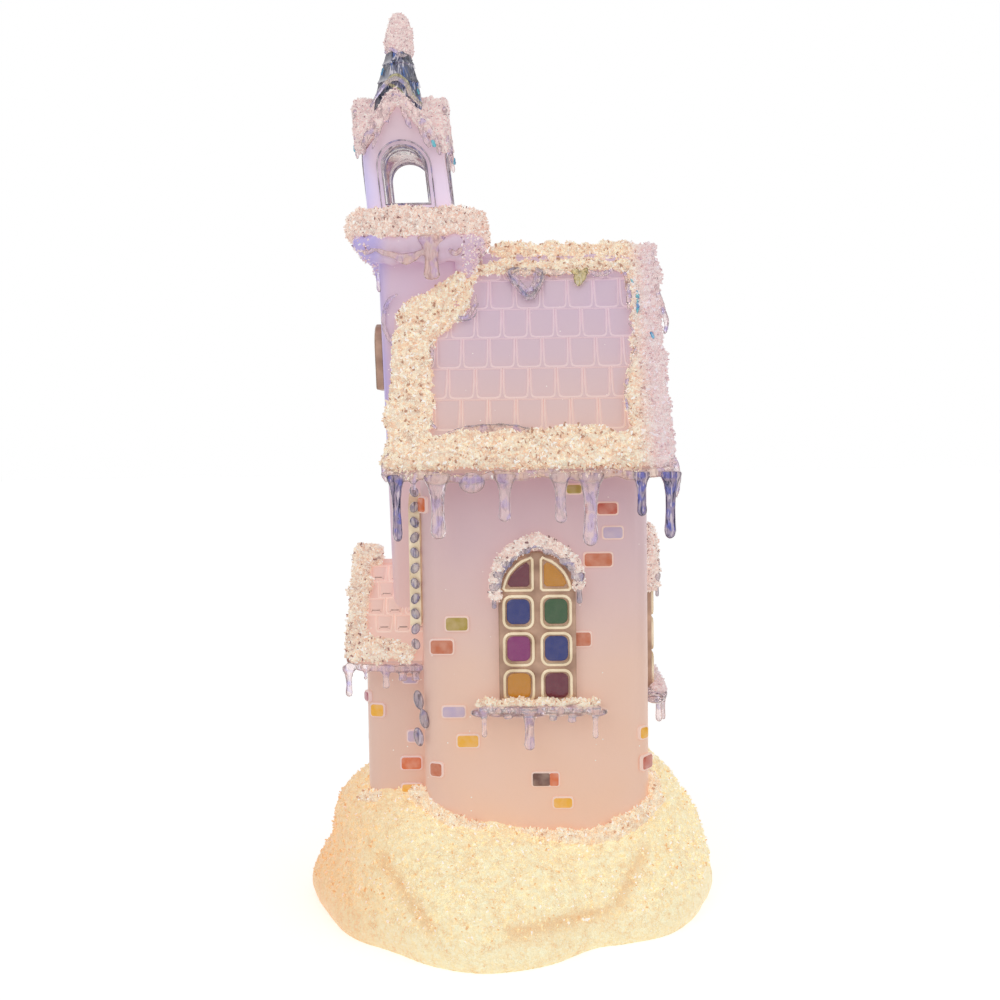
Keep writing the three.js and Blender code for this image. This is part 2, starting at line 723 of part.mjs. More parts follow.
function makeRoofSnow() {
  const right = roofBackX + roofSnowOver;
  const left = roofFrontX - roofSnowOver;
  const top = ridgeSnowHalf / Math.cos(roofSlope) + seatGap;
  const corners = [
    [right, top], [towerBackX, top], [towerBackX - 0.04 * towerHalf, towerDown - 0.22 * towerHalf],
    [left + 0.9 * towerHalf, towerDown], [left + 0.2 * towerHalf, towerDown + 0.22 * towerHalf],
    [left, towerDown + 0.75 * towerHalf], [left + 0.8, 0.59 * roofLength],
    [left - 0.4, 0.78 * roofLength], [left, roofLength], [right, roofLength],
    [right + 0.5, 0.73 * roofLength], [right - 0.3, 0.47 * roofLength], [right + 0.3, 0.24 * roofLength],
  ];
  const outline = corners.map(([x, d]) => new THREE.Vector2(x, -d));
  const ring = toSolid(slab(outline, roofSnowThick, [fieldPoints(seatGap)], snowChamfer));
  const clearZ = ridgeZ + seatGap / Math.cos(roofSlope);
  const roofLine = underRoof(clearZ, roofSlope, eaveHalfY, roofFrontX - cutPast, roofBackX + cutPast);
  const field = onSlope(fieldPrism(seatGap), ridgeZ, roofSlope);
  const bank = towerBank().subtract(unite([towerEnvelope, roofLine, field]));
  const laid = onSlope(ring.translate([0, 0, seatGap - snowChamfer]), ridgeZ, roofSlope).subtract(roofLine);
  const near = laid.add(bank).subtract(underCornice);
  addPiece('roof_snow_near', near, 'snow');
  addPiece('roof_snow_far', near.mirror([0, 1, 0]), 'snow');
  const rings = [];
  const lobe = [[-1, -1.9], [-0.9, -0.4], [-0.45, 0.75], [0.05, 1], [0.5, 0.7], [0.9, -0.5], [1, -1.9]];
  for (let i = 0; i <= ridgeSnowSteps; i += 1) {
    const x = corniceBackX + ((right - corniceBackX) * i) / ridgeSnowSteps;
    const size = i === 0 || i === ridgeSnowSteps ? 0.8 : 1 + 0.07 * Math.sin(i * 2.3);
    const wide = ridgeSnowHalf * size;
    const high = ridgeSnowHeight * size;
    rings.push(lobe.map(([y, z]) => new THREE.Vector3(x, y * wide, ridgeZ + z * high)).reverse());
  }
  addPiece('ridge_snow', loft(rings).subtract(roofLine), 'snow');
}

function makeEaveIce() {
  const icicles = eaveIcicles.map(([along, half, drop]) => {
    const at = roofFrontX + along * (roofBackX - roofFrontX);
    return { at, half: half * eaveIcicleHalf, drop: drop * eaveIcicleDrop };
  });
  const from = roofFrontX - eaveIceEndFront;
  const outline = icicleOutline(from, roofBackX + eaveIceEndBack, eaveIceBand, icicles);
  const ice = uprightSlab(outline, eaveIceThick).translate([0, -eaveHalfY - seatGap, eaveZ - 0.4]);
  addPiece('eave_ice_near', ice, 'ice');
  addPiece('eave_ice_far', ice.mirror([0, 1, 0]), 'ice');
}

function makeTower() {
  const height = towerTopZ - houseFootZ;
  const outer = column(roundedRect(towerHalf, towerHalf, towerCorner, 3), 0, height);
  const innerHalf = towerHalf - towerWall;
  const inner = column(roundedRect(innerHalf, innerHalf, 1, 1), -bite, height + bite);
  const hole = archHole(towerWindowHalf, towerWindowSpring, towerWindowRise, 1.3, 5);
  const lowered = towerBricks.map(([x, z, width, tall]) => [x, z - houseFootZ, width, tall]);
  const bricks = unite(brickPads(lowered, -towerHalf));
  const walls = outer.add(bricks).subtract(inner);
  const cut = walls.subtract(hole.rotate([0, 0, -90]).translate([-towerHalf, 0, towerWindowZ - houseFootZ]));
  const tower = addPiece('tower_walls', leaned(cut, towerLean), 'acrylic');
  tower.position.set(towerFootX, 0, houseFootZ);
  const outline = pointedArch(towerWindowHalf, towerWindowSpring, towerWindowRise, 4);
  const panes = [-1, 1].map((side) => {
    const pane = roundedRect(2, 4.6, 0.9, 1);
    return pane.map((p) => new THREE.Vector2(p.x + side * 2.7, p.y + 8));
  });
  const frame = uprightSlab(outline, towerWindowDepth, panes, 0.4).rotate([0, 0, -90]);
  const faceX = towerFootX - towerHalf - towerLean * (towerWindowZ - houseFootZ);
  const mesh = addPiece('tower_window', leaned(frame, towerLean), 'gold');
  mesh.position.set(faceX - seatGap, 0, towerWindowZ);
}

function makeCornice() {
  const square = (share, corner) => roundedRect(corniceHalf * share, corniceHalf * share, corner, 2);
  const iceRings = [[0.8, 3, 0], [0.93, 4, 0.36], [0.97, 5, 1]];
  const plate = loft(iceRings.map(([share, corner, z]) => (
    atHeight(square(share, corner), z * corniceIceHeight)
  )));
  const drops = [
    { at: -11.5, half: 2.2, drop: 1.6 }, { at: -4, half: 2.5, drop: 2.6 },
    { at: 4.6, half: 2.5, drop: 7.4 }, { at: 11.6, half: 1.8, drop: 1.4 },
  ];
  const reach = corniceHalf * 0.8;
  const apronHalf = reach - apronIn;
  const strip = uprightSlab(icicleOutline(-apronHalf, apronHalf, apronBand, drops), apronThick);
  const hung = strip.translate([0, apronIn - 0.4 - reach, apronBand / 2]);
  const aprons = [0, 180, 270].map((turn) => hung.rotate([0, 0, turn]));
  addPiece('cornice_ice', unite([plate, ...aprons]), 'ice').position.set(towerTopX, 0, corniceZ);
  const snowRings = [[0.955, 0], [1, 0.2], [1.02, 0.45], [0.96, 0.75], [0.84, 0.94], [0.7, 1]];
  const snow = loft(snowRings.map(([share, z]) => atHeight(square(share, 6 * share), z * corniceSnowHeight)));
  addPiece('cornice_snow', snow, 'snow').position.set(towerTopX, 0, corniceSnowZ);
}

// Two crossing gabled blocks over a square tower, both with their ridge at apex height.
function crossGable(apex, eave, half, long) {
  const one = underRoof(apex, belfrySlope, half, -long, long);
  const top = apex + cutPast;
  const above = profileAlongX([[-half, eave], [half, eave], [half, top], [-half, top]], -long, long);
  const trimmed = one.intersect(above);
  return trimmed.add(trimmed.rotate([0, 0, 90]));
}

function makeBelfry() {
  const square = (half) => roundedRect(half, half, 1.6, 2);
  const apex = belfryEaveHeight + gableRise;
  const wide = belfryHalfTop + cutPast;
  const shaft = loft([
    atHeight(square(belfryHalfFoot), 0), atHeight(square(belfryHalfTop), belfryEaveHeight),
    atHeight(square(belfryHalfTop), apex + bite),
  ]);
  const arch = pointedArch(archWidth / 2, archHeight - archWidth / 2 - archSill, archWidth / 2, 5);
  const tunnel = uprightSlab(arch, 2 * wide).translate([0, wide, archSill]);
  const openings = tunnel.add(tunnel.rotate([0, 0, 90]));
  const walls = shaft.intersect(crossGable(apex, 0, wide, wide)).subtract(openings);
  addPiece('belfry_walls', leaned(walls, belfryLean), 'acrylic').position.set(belfryX, 0, belfryZ);
  const over = belfryHalfTop + belfryRoofOver;
  const inner = crossGable(apex + seatGap / Math.cos(belfrySlope), -cutPast, wide, wide);
  const outer = crossGable(apex + belfryRoofThick, belfryEaveHeight - belfryRoofDrop, over, over);
  const rounded = column(roundedRect(over, over, belfryRoofCorner, 2), 0, apex + cutPast);
  const topHole = rod(spireSocket, apex - cutPast, apex + cutPast, 0, 0, 8);
  const roof = outer.intersect(rounded).subtract(inner).subtract(topHole);
  addPiece('belfry_roof', leaned(roof, belfryLean), 'snow').position.set(belfryX, 0, belfryZ);
  const clearApex = apex + belfryRoofThick + seatGap / Math.cos(belfrySlope);
  const clear = crossGable(clearApex, -cutPast, wide, wide);
  return leaned(clear, belfryLean).translate([belfryX, 0, belfryZ]);
}

function ringOf(radius, z, x = 0, sides = spireSides) {
  const points = [];
  for (let i = 0; i < sides; i += 1) {
    const angle = (2 * Math.PI * (i + 0.5)) / sides;
    points.push(new THREE.Vector3(x + radius * Math.cos(angle), radius * Math.sin(angle), z));
  }
  return points;
}

function makeSpire(roofBelow) {
  const midX = belfryX - belfryLean * (gableZ - belfryZ);
  const radiusAt = (share) => spireFootRadius + (spireTopRadius - spireFootRadius) * share ** 0.86;
  const grown = (extra) => {
    const steps = [[0, 0], [0.3, 0], [0.33, spireGroove], [0.52, 0], [0.55, spireGroove], [1, 0]];
    const rings = steps.map(([s, groove]) => ringOf(radiusAt(s) + extra - groove, s * spireHeight));
    return leaned(loft(rings), spireLean).translate([midX, 0, spireFootZ]);
  };
  addPiece('spire', grown(0).subtract(roofBelow), 'ice');
  const shape = [[0.86, 0], [1, 0.14], [1.02, 0.42], [0.92, 0.62], [0.72, 0.83], [0.4, 0.96], [0.12, 1]];
  const cap = loft(shape.map(([r, z]) => ringOf(r * capRadius, z * capHeight, 0, 9)));
  const capX = midX - spireLean * (capFootZ - spireFootZ);
  const seated = leaned(cap, spireLean).translate([capX, 0, capFootZ]).subtract(grown(seatGap));
  addPiece('spire_snow_cap', seated, 'snow');
}

// A place on the porch's front wall, for something drawn to face -Y.
function onPorchFront(solid, x, z) {
  return solid.rotate([0, 0, -90]).translate([x, 0, z]);
}

function makePorchWalls() {
  const midX = (porchFrontX + naveFrontX + porchInto) / 2;
  const half = (naveFrontX + porchInto - porchFrontX) / 2;
  const back = naveFrontX - seatGap;
  const outer = column(roundedRect(half, porchHalfY, porchCorner, 3), houseFootZ, porchRidgeZ, midX);
  const room = roundedRect(half, porchHalfY - porchWall, porchCorner - porchWall, 2);
  const inner = column(room, 0, porchRidgeZ + bite, midX + porchWall);
  const apex = porchRidgeZ - (porchRoofThick + seatGap) / Math.cos(porchSlope);
  const under = underRoof(apex, porchSlope, porchEaveHalfY, porchFrontX - bite, back);
  const doorHole = archHole(doorWidth / 2, doorHeight - doorArchRise, doorArchRise, 0, porchCorner);
  const bricks = brickPads(porchBricks, -porchHalfY);
  const walls = unite([outer, ...bricks]).subtract(inner).intersect(under);
  const cut = walls.subtract(onPorchFront(doorHole, porchFrontX, doorSillZ)).subtract(towerEnvelope);
  addPiece('porch_walls', cut, 'acrylic');
}

function makePorchRoof() {
  const back = naveFrontX - seatGap;
  const length = Math.hypot(porchRidgeZ - porchEaveZ, porchEaveHalfY);
  const tiles = [];
  for (let row = 0; row < 4; row += 1) {
    for (let step = 0; step < 4; step += 1) {
      const x = porchRoofFrontX + porchRakeSnow + porchShingle * (step + (row % 2 ? 0 : 0.5));
      const tile = shingle(porchShingle, porchShingle, 1);
      tiles.push(tile.translate([x, -porchRidgeSnow - row * porchShingle, -shingleSunk]));
    }
  }
  const field = block(
    porchRoofFrontX + porchRakeSnow + seatGap, back, -length + porchEaveSnow + seatGap,
    -porchRidgeSnow - seatGap, -1, 4,
  );
  const laid = onSlope(unite(tiles).intersect(field), porchRidgeZ, porchSlope);
  const both = laid.add(laid.mirror([0, 1, 0]));
  const sheet = roofSheet(porchRidgeZ, porchSlope, porchEaveHalfY, porchRoofThick, porchRoofFrontX, back);
  addPiece('porch_roof', sheet.add(both).subtract(towerEnvelope), 'acrylic');
  makePorchSnow(both, length, back);
}

function makePorchSnow(tiles, length, back) {
  const front = porchRoofFrontX - 0.8;
  const inner = porchRoofFrontX + porchRakeSnow;
  const rollEnd = towerTopX - towerHalf - 1.8;
  const foot = length + 0.6;
  const band = [
    [front, 0], [front - 0.5, 0.35 * length], [front, 0.65 * length], [front, foot], [back - 4, foot],
    [back - 1, length - 3.5], [inner + 6, length - porchEaveSnow - 0.6],
    [inner + 0.6, length - porchEaveSnow - 1], [inner, 0.6 * length], [inner + 0.8, 0.3 * length],
    [inner - 0.2, porchRidgeSnow], [rollEnd, porchRidgeSnow - 0.4], [rollEnd, 0],
  ];
  const outline = band.map(([x, d]) => new THREE.Vector2(x, -d)).reverse();
  const sheet = toSolid(slab(outline, porchSnowThick, [], snowChamfer));
  const side = onSlope(sheet.translate([0, 0, seatGap - snowChamfer]), porchRidgeZ, porchSlope);
  const clearZ = porchRidgeZ + seatGap / Math.cos(porchSlope);
  const clearRoof = underRoof(clearZ, porchSlope, porchEaveHalfY + cutPast, front - cutPast, back + cutPast);
  const rollLength = rollEnd - front - 0.8;
  const roll = new THREE.CylinderGeometry(porchRollRadius, porchRollRadius, rollLength, 8);
  const rollX = rollEnd - rollLength / 2;
  const ridge = toSolid(roll.rotateZ(Math.PI / 2).translate(rollX, 0, porchRidgeZ + 1.6));
  const heap = unite([side, side.mirror([0, 1, 0]), ridge]);
  addPiece('porch_snow', heap.subtract(unite([clearRoof, tiles, towerEnvelope])), 'snow');
}

function makePorchDoor() {
  const rise = doorArchRise - seatGap;
  const outline = pointedArch(doorWidth / 2 - seatGap, doorHeight - doorArchRise, rise, 4);
  const leaf = uprightSlab(outline, doorThick);
  const strip = (halfX, halfZ, proud, x, z) => {
    return uprightSlab(roundedRect(halfX, halfZ, 0, 0), proud).translate([x, 0.2 - doorThick, z]);
  };
  const boards = [-4.4, 0, 4.4].map((x) => strip(0.5, 12, 0.8, x, 14));
  const bars = [8, 20].map((z) => strip(6.6, 0.9, 1, 0, z));
  const door = addPiece('porch_door', unite([leaf, ...boards, ...bars]), 'wood');
  door.rotation.z = -Math.PI / 2;
  door.position.set(porchFrontX + porchWall - runGap, 0, doorSillZ + seatGap);
}

// The eight openings of an arched window: three rows of two, and two quarter lancets.
function paneOutlines(inset, steps) {
  const panes = [];
  for (let row = 0; row < 3; row += 1) {
    for (const side of [-1, 1]) {
      const outline = roundedRect(paneWidth / 2 - inset, paneHeight / 2 - inset, paneCorner, steps);
      const x = (side * panePitchX) / 2;
      const z = paneFirstZ + row * panePitchZ;
      panes.push(outline.map((p) => new THREE.Vector2(p.x + x, p.y + z)));
    }
  }
  const foot = paneFirstZ + 2.5 * panePitchZ + 0.9 + inset;
  const inner = (panePitchX - paneWidth) / 2 + inset;
  const radius = (windowHalf ** 2 + windowRise ** 2) / (2 * windowHalf);
  const reach = radius - lancetBorder - inset;
  const offset = radius - windowHalf;
  const top = windowSpring + Math.sqrt(reach ** 2 - (inner + 0.7 + offset) ** 2);
  const right = [[inner, foot]];
  for (let i = 0; i <= 3; i += 1) {
    const z = foot + ((top - foot) * i) / 3;
    right.push([Math.sqrt(reach ** 2 - (z - windowSpring) ** 2) - offset, z]);
  }
  right.push([inner, top - 0.7]);
  panes.push(right.map(([x, z]) => new THREE.Vector2(x, z)));
  panes.push(right.map(([x, z]) => new THREE.Vector2(-x, z)).reverse());
  return panes;
}

function makeHood(name, place) {
  const outer = pointedArch(windowHalf + hoodSide, windowSpring, windowRise + hoodRise, 4).slice(2);
  const inner = pointedArch(windowHalf + seatGap, windowSpring, windowRise + seatGap, 4).slice(2);
  const near = windowHalf + seatGap;
  const far = windowHalf + hoodSide;
  const rightEnd = [new THREE.Vector2(near, windowSpring), new THREE.Vector2(far, windowSpring - 1)];
  const leftEnd = [new THREE.Vector2(-far, windowSpring - 3), new THREE.Vector2(-near, windowSpring - 1.5)];
  const outline = [rightEnd[1], ...outer, ...leftEnd, ...inner.reverse(), rightEnd[0]];
  const kept = outline.filter((p, i) => i === 0 || p.distanceTo(outline[i - 1]) > 0.01);
  addPiece('window_hood_' + name, uprightSlab(kept, hoodDepth, [], 0.6), 'snow', place).position.y = -seatGap;
}

// A sill whose front lip stands up before the foot of the window's frame.
function makeSill(name, place) {
  const drops = [
    { at: -15.6, half: 1.2, drop: 6.2 }, { at: -8.2, half: 2, drop: 1 }, { at: -1.6, half: 1.7, drop: 10.4 },
    { at: 8, half: 3, drop: 1.4 }, { at: 16.6, half: 1, drop: 7.4 },
  ];
  const band = icicleOutline(-sillHalf, sillHalf, sillHeight * 0.55, drops);
  const apronBack = sillApron + 0.2 - sillDepth;
  const apron = uprightSlab(band, sillApron).translate([0, apronBack, sillLip - sillHeight * 0.5]);
  const foot = sillLip - sillHeight;
  const rings = [[1, 2, foot], [0, 3, foot / 2], [1, 3, -seatGap]];
  const shelf = loft(rings.map(([shy, corner, z]) => {
    const outline = roundedRect(sillHalf - shy, sillDepth / 2, corner, 2);
    return atHeight(outline, z, 0, -sillDepth / 2);
  }));
  const behind = windowDepth + seatGap;
  const lipOutline = roundedRect(sillHalf - 1.4, (sillDepth - behind) / 2, 1.2, 1);
  const lip = column(lipOutline, foot / 2, sillLip - seatGap, 0, -(sillDepth + behind) / 2);
  addPiece('window_sill_' + name, unite([shelf, apron, lip]), 'ice', place).position.y = -seatGap;
}

function makeWindow({ name, x, y, turn }) {
  const place = new THREE.Group();
  place.position.set(x, y, windowSillZ);
  place.rotation.z = THREE.MathUtils.degToRad(turn);
  church.add(place);
  const arch = pointedArch(windowHalf, windowSpring, windowRise, 4);
  const plate = uprightSlab(arch, windowDepth - rimProud);
  const rims = paneOutlines(-paneRim, 1).map((outline) => uprightSlab(outline, windowDepth));
  const holes = paneOutlines(0, 1).map((outline) => uprightSlab(outline, 2 * cutPast));
  const openings = unite(holes).translate([0, cutPast, 0]);
  const frame = addPiece('window_frame_' + name, unite([plate, ...rims]).subtract(openings), 'gold', place);
  frame.position.y = -seatGap;
  const within = pointedArch(windowHalf, windowSpring, windowRise, 4, windowLand + seatGap);
  const sheet = uprightSlab(within, sheetThick).translate([0, sheetThick, 0]);
  const lenses = paneOutlines(seatGap, 1).map((outline) => uprightSlab(outline, lensThick));
  const panes = unite(lenses).translate([0, lensThick - lensProud, 0]);
  addPiece('window_glass_' + name, sheet.add(panes), 'glass', place);
  makeHood(name, place);
  makeSill(name, place);
}

function makeSlit({ name, x, y, turn }) {
  const outline = pointedArch(slitHalf, slitSpring, slitRise, 4);
  const panes = [7, 18.4, 29.8].map((z) => {
    const pane = roundedRect(2.1, 4.6, 1, 1);
    return pane.map((p) => new THREE.Vector2(p.x, p.y + z));
  });
  const frame = addPiece('front_window_' + name, uprightSlab(outline, slitDepth, panes), 'gold');
  frame.position.set(x - seatGap, y, slitSillZ);
  frame.rotation.z = THREE.MathUtils.degToRad(turn);
}

function makeCornerDrop(name, side) {
  const shape = [
    [0.3, 0], [0.75, 0.18], [1, 0.27], [0.7, 0.4], [0.35, 0.5], [0.8, 0.62], [0.95, 0.74], [0.6, 0.9],
    [0.2, 1],
  ];
  const drop = loft(shape.map(([r, z]) => ringOf(r * cornerDropRadius, z * cornerDropHeight, 0, 7)));
  const reach = naveCorner + seatGap + cornerDropRadius;
  const mesh = addPiece('corner_drop_' + name, drop, 'ice');
  const x = naveFrontX + naveCorner - reach * 0.8;
  mesh.position.set(x, side * (naveHalfY - naveCorner + reach * 0.6), cornerDropZ);
}

function makeScrews() {
  screwSpots().forEach((spot, i) => {
    const shank = rod(screwRadius, -0.5, screwLength, 0, 0, 8);
    const slot = block(-0.4, 0.4, -1.8, 1.8, -screwHead - bite, -screwHead / 2);
    const head = rod(screwHeadRadius, -screwHead, 0, 0, 0, 8).subtract(slot);
    const screw = addPiece('plate_screw_' + (i + 1), shank.add(head), 'steel');
    screw.position.set(spot.x, spot.y, plateZ - seatGap);
  });
}

function makePlateAndDoor() {
  const doorHalfX = boxInnerHalfX - 2 * seatGap;
  const doorHalfY = boxInnerHalfY - 2 * seatGap;
  const x0 = boxCentreX - doorHalfX;
  const x1 = boxCentreX + doorHalfX;
  const knobHalf = knobWidth / 2 + runGap;
  const slotHalf = (knobLength + switchTravel) / 2 + runGap;
  const openings = [
    block(x0, x1, -doorHalfY, doorHalfY, 0, cutPast),
    block(switchX - knobHalf, switchX + knobHalf, -slotHalf, slotHalf, 0, cutPast),
    ...screwSpots().map((spot) => rod(screwRadius + seatGap, 0, cutPast, spot.x, spot.y, 8)),
  ];
  const plate = loft([plateZ, plateTopZ].map((z) => baseRing(rimPoints, rimInner, z, seatGap)));
  addPiece('bottom_plate', plate.subtract(unite(openings)), 'plastic');
  const lidX = x0 + runGap;
  const lidTop = plateZ + doorPlateThick;
  const lid = block(lidX, x1 - runGap, runGap - doorHalfY, doorHalfY - runGap, plateZ, lidTop);
  const tabTop = plateTopZ + seatGap + tabThick;
  const tabs = [-cellPitch / 2, cellPitch / 2].map((y) => {
    const riser = block(lidX, lidX + tabRiser, y - tabHalf, y + tabHalf, plateZ, tabTop);
    const lip = block(x0 - tabReach, lidX + tabRiser, y - tabHalf, y + tabHalf, plateTopZ + seatGap, tabTop);
    return riser.add(lip);
  });
  const fingerX = x1 - fingerLength;
  const outer = fingerHalf + fingerSlot;
  const cuts = [
    block(fingerX, x1, -outer, -fingerHalf, 0, cutPast), block(fingerX, x1, fingerHalf, outer, 0, cutPast),
    ...[3.2, 5.2, 7.2].map((x) => block(x1 - x - fingerSlot, x1 - x, -4, 4, plateZ - bite, plateZ + bite)),
  ];
  addPiece('battery_door', unite([lid, ...tabs]).subtract(unite(cuts)), 'plastic');
}

function makeBatteryBox() {
  const x0 = boxCentreX - boxInnerHalfX;
  const x1 = boxCentreX + boxInnerHalfX;
  const outerY = boxInnerHalfY + boxWall;
  const outer = block(x0 - boxWall, x1 + boxWall, -outerY, outerY, boxFootZ, boxTopZ);
  const room = block(x0, x1, -boxInnerHalfY, boxInnerHalfY, 0, boxTopZ - boxWall);
  const between = [-cellPitch / 2, cellPitch / 2];
  const notchHalf = tabHalf + 2 * runGap;
  const notches = between.map((y) => (
    block(x0 - cutPast, x0 + bite, y - notchHalf, y + notchHalf, 0, plateTopZ + notchHeight)
  ));
  const ribX = boxCentreX - cellLength / 4;
  const ribs = between.map((y) => (
    block(ribX - 1, ribX + 1, y - ribHalf, y + ribHalf, cellZ + cellDiameter / 4, boxTopZ - boxWall / 2)
  ));
  addPiece('battery_box', unite([outer.subtract(room).subtract(unite(notches)), ...ribs]), 'dark');
}

// One cell along +X, its flat end at x = 0.
function cellSolid() {
  const r = cellDiameter / 2;
  const tip = cellLength + cellNub;
  const profile = [
    [0, 0], [r - 1.4, 0], [r, 0.8], [r, cellLength - 1], [r - 0.8, cellLength], [2.9, cellLength], [2.7, tip],
    [0, tip],
  ];
  const body = new THREE.LatheGeometry(profile.map(([x, y]) => new THREE.Vector2(x, y)), 10);
  return toSolid(body.rotateZ(-Math.PI / 2));
}

// A conical coil along +X with its wide turn at x = 0, and the least gap between its turns.
function coilSolid(length) {
  const steps = springTurns * 6;
  const points = [];
  for (let i = 0; i <= steps; i += 1) {
    const share = i / steps;
    const angle = share * springTurns * 2 * Math.PI;
    const radius = 4.6 - 2 * share;
    const x = springWire / 2 + share * (length - springWire);
    points.push(new THREE.Vector3(x, radius * Math.cos(angle), radius * Math.sin(angle)));
  }
  return wireAlong(points, springWire / 2, 4, steps);
}

function makeCellsAndContacts() {
  const x0 = boxCentreX - boxInnerHalfX;
  const x1 = boxCentreX + boxInnerHalfX;
  const sheetHalf = 5.6;
  const lowZ = cellZ - 4.5;
  const highZ = cellZ + 6;
  const rowY = Array.from({ length: cellCount }, (_, i) => (i - (cellCount - 1) / 2) * cellPitch);
  const flatEnd = contactSheet + seatGap + springLength + seatGap;
  rowY.forEach((y, i) => {
    const turned = i % 2 === 1;
    const cell = addPiece('battery_' + (i + 1), cellSolid(), 'cell');
    cell.rotation.z = turned ? Math.PI : 0;
    cell.position.set(turned ? x1 - flatEnd : x0 + flatEnd, y, cellZ);
  });
  const coil = coilSolid(springLength + 0.1);
  const inFromWall = seatGap + contactSheet - 0.1;
  const springAt = (y, atFront) => {
    const way = atFront ? coil : coil.rotate([0, 0, 180]);
    return way.translate([atFront ? x0 + inFromWall : x1 - inFromWall, y, cellZ]);
  };
  const frontSheet = (y0, y1) => block(x0 + seatGap, x0 + seatGap + contactSheet, y0, y1, lowZ, highZ);
  const backSheet = (y0, y1) => block(x1 - seatGap - contactSheet, x1 - seatGap, y0, y1, lowZ, highZ);
  const [first, second, third] = rowY;
  const single = frontSheet(first - sheetHalf, first + sheetHalf);
  const frontPair = frontSheet(second - sheetHalf, third + sheetHalf);
  const backPair = backSheet(first - sheetHalf, second + sheetHalf);
  addPiece('contact_spring_end', single.add(springAt(first, true)), 'steel');
  addPiece('contact_bridge_front', frontPair.add(springAt(third, true)), 'steel');
  addPiece('contact_bridge_back', backPair.add(springAt(second, false)), 'steel');
  addPiece('contact_plate_end', backSheet(third - sheetHalf, third + sheetHalf), 'steel');
}

function boxAround(x, y, halfX, halfY, z0, z1) {
  return block(x - halfX, x + halfX, y - halfY, y + halfY, z0, z1);
}

function makeSwitch() {
  const flangeZ = plateTopZ + 0.9;
  const flangeTop = flangeZ + flangeThick;
  const roomX = flangeHalfX + runGap;
  const roomY = flangeHalfY + switchTravel / 2 + runGap;
  const wallX = roomX + switchWall;
  const wallY = roomY + switchWall;
  const housing = boxAround(switchX, 0, wallX, wallY, boxFootZ, plateTopZ + switchHeight);
  const room = boxAround(switchX, 0, roomX, roomY, 0, flangeTop + runGap);
  addPiece('switch_housing', housing.subtract(room), 'dark');
  const restY = -switchTravel / 2;
  const stem = boxAround(switchX, restY, knobWidth / 2, knobLength / 2, knobFootZ, flangeTop);
  const flange = boxAround(switchX, restY, flangeHalfX, flangeHalfY, flangeZ, flangeTop);
  const grooves = [-1.2, 0, 1.2].map((y) => (
    boxAround(switchX, restY + y, knobWidth, 0.2, 0, knobFootZ + runGap)
  ));
  addPiece('switch_slider', stem.add(flange).subtract(unite(grooves)), 'dark');
}

function lampSolid() {
  const domeZ = lampHeight - lampRadius;
  const flange = lampRadius + 0.5;
  const profile = [[0, 0], [flange, 0], [flange, 1], [lampRadius, 1.1], [lampRadius, domeZ]];
  for (const degrees of [30, 60, 90]) {
    const angle = THREE.MathUtils.degToRad(degrees);
    const r = degrees === 90 ? 0 : lampRadius * Math.cos(angle);
    profile.push([r, domeZ + lampRadius * Math.sin(angle)]);
  }
  const body = new THREE.LatheGeometry(profile.map(([r, z]) => new THREE.Vector2(r, z)), 8);
  return toSolid(body.rotateX(Math.PI / 2));
}

function makeLights() {
  const board = column(roundedRect(boardHalfX, boardHalfY, 2, 2), boardZ, boardZ + boardThick, boardX);
  addPiece('led_board', board, 'board');
  const spots = [[-11, -9], [11, 9], [0, 0]];
  spots.forEach(([x, y], i) => {
    const mesh = addPiece('led_lamp_' + (i + 1), lampSolid(), 'lamp');
    mesh.position.set(boardX + x, y, boardZ + boardThick + seatGap);
  });
  const startZ = plateTopZ + switchHeight + seatGap;
  const leadZ = boxTopZ + (hollowTopZ - boxTopZ) / 2;
  const endX = boardX - boardHalfX - seatGap;
  const endZ = boardZ + boardThick / 2;
  for (const [name, side, look] of [['lead_red', -1, 'red'], ['lead_black', 1, 'dark']]) {
    const route = [
      [switchX, 1.8, startZ], [switchX, 1.8, startZ + 3], [switchX + 3, 2, leadZ - 3],
      [switchX + 9, 2.4, leadZ], [(switchX + 2 * endX) / 3, 3, leadZ], [endX - 1.7, 3.4, endZ],
      [endX, 3.4, endZ],
    ];
    const points = route.map(([x, y, z]) => new THREE.Vector3(x, side * y, z));
    addPiece(name, wireAlong(points, leadRadius, 5, 12), look);
  }
}

makeBase();
makeNaveWalls();
makeNaveRoof();
makeRoofSnow();
makeEaveIce();
makeTower();
makeCornice();
makeSpire(makeBelfry());
makePorchWalls();
makePorchRoof();
makePorchDoor();
windowPlaces.forEach(makeWindow);
slitPlaces.forEach(makeSlit);
makeCornerDrop('near', -1);
makeCornerDrop('far', 1);
makeScrews();
makePlateAndDoor();
makeBatteryBox();
makeCellsAndContacts();
makeSwitch();
makeLights();

// The origin is the middle of the base's footprint, on the surface that it stands on.
const footprint = new THREE.Box3().setFromPoints(basePoints);
const shift = footprint.getCenter(new THREE.Vector3());
church.position.set(-shift.x, -shift.y, 0);

export default church;
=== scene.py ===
# Looks of the lighted village church. Shapes are made in millimetres and placed at the end.
import json
import math

import bmesh
import bpy
import numpy as np
from mathutils import Matrix, Vector, noise


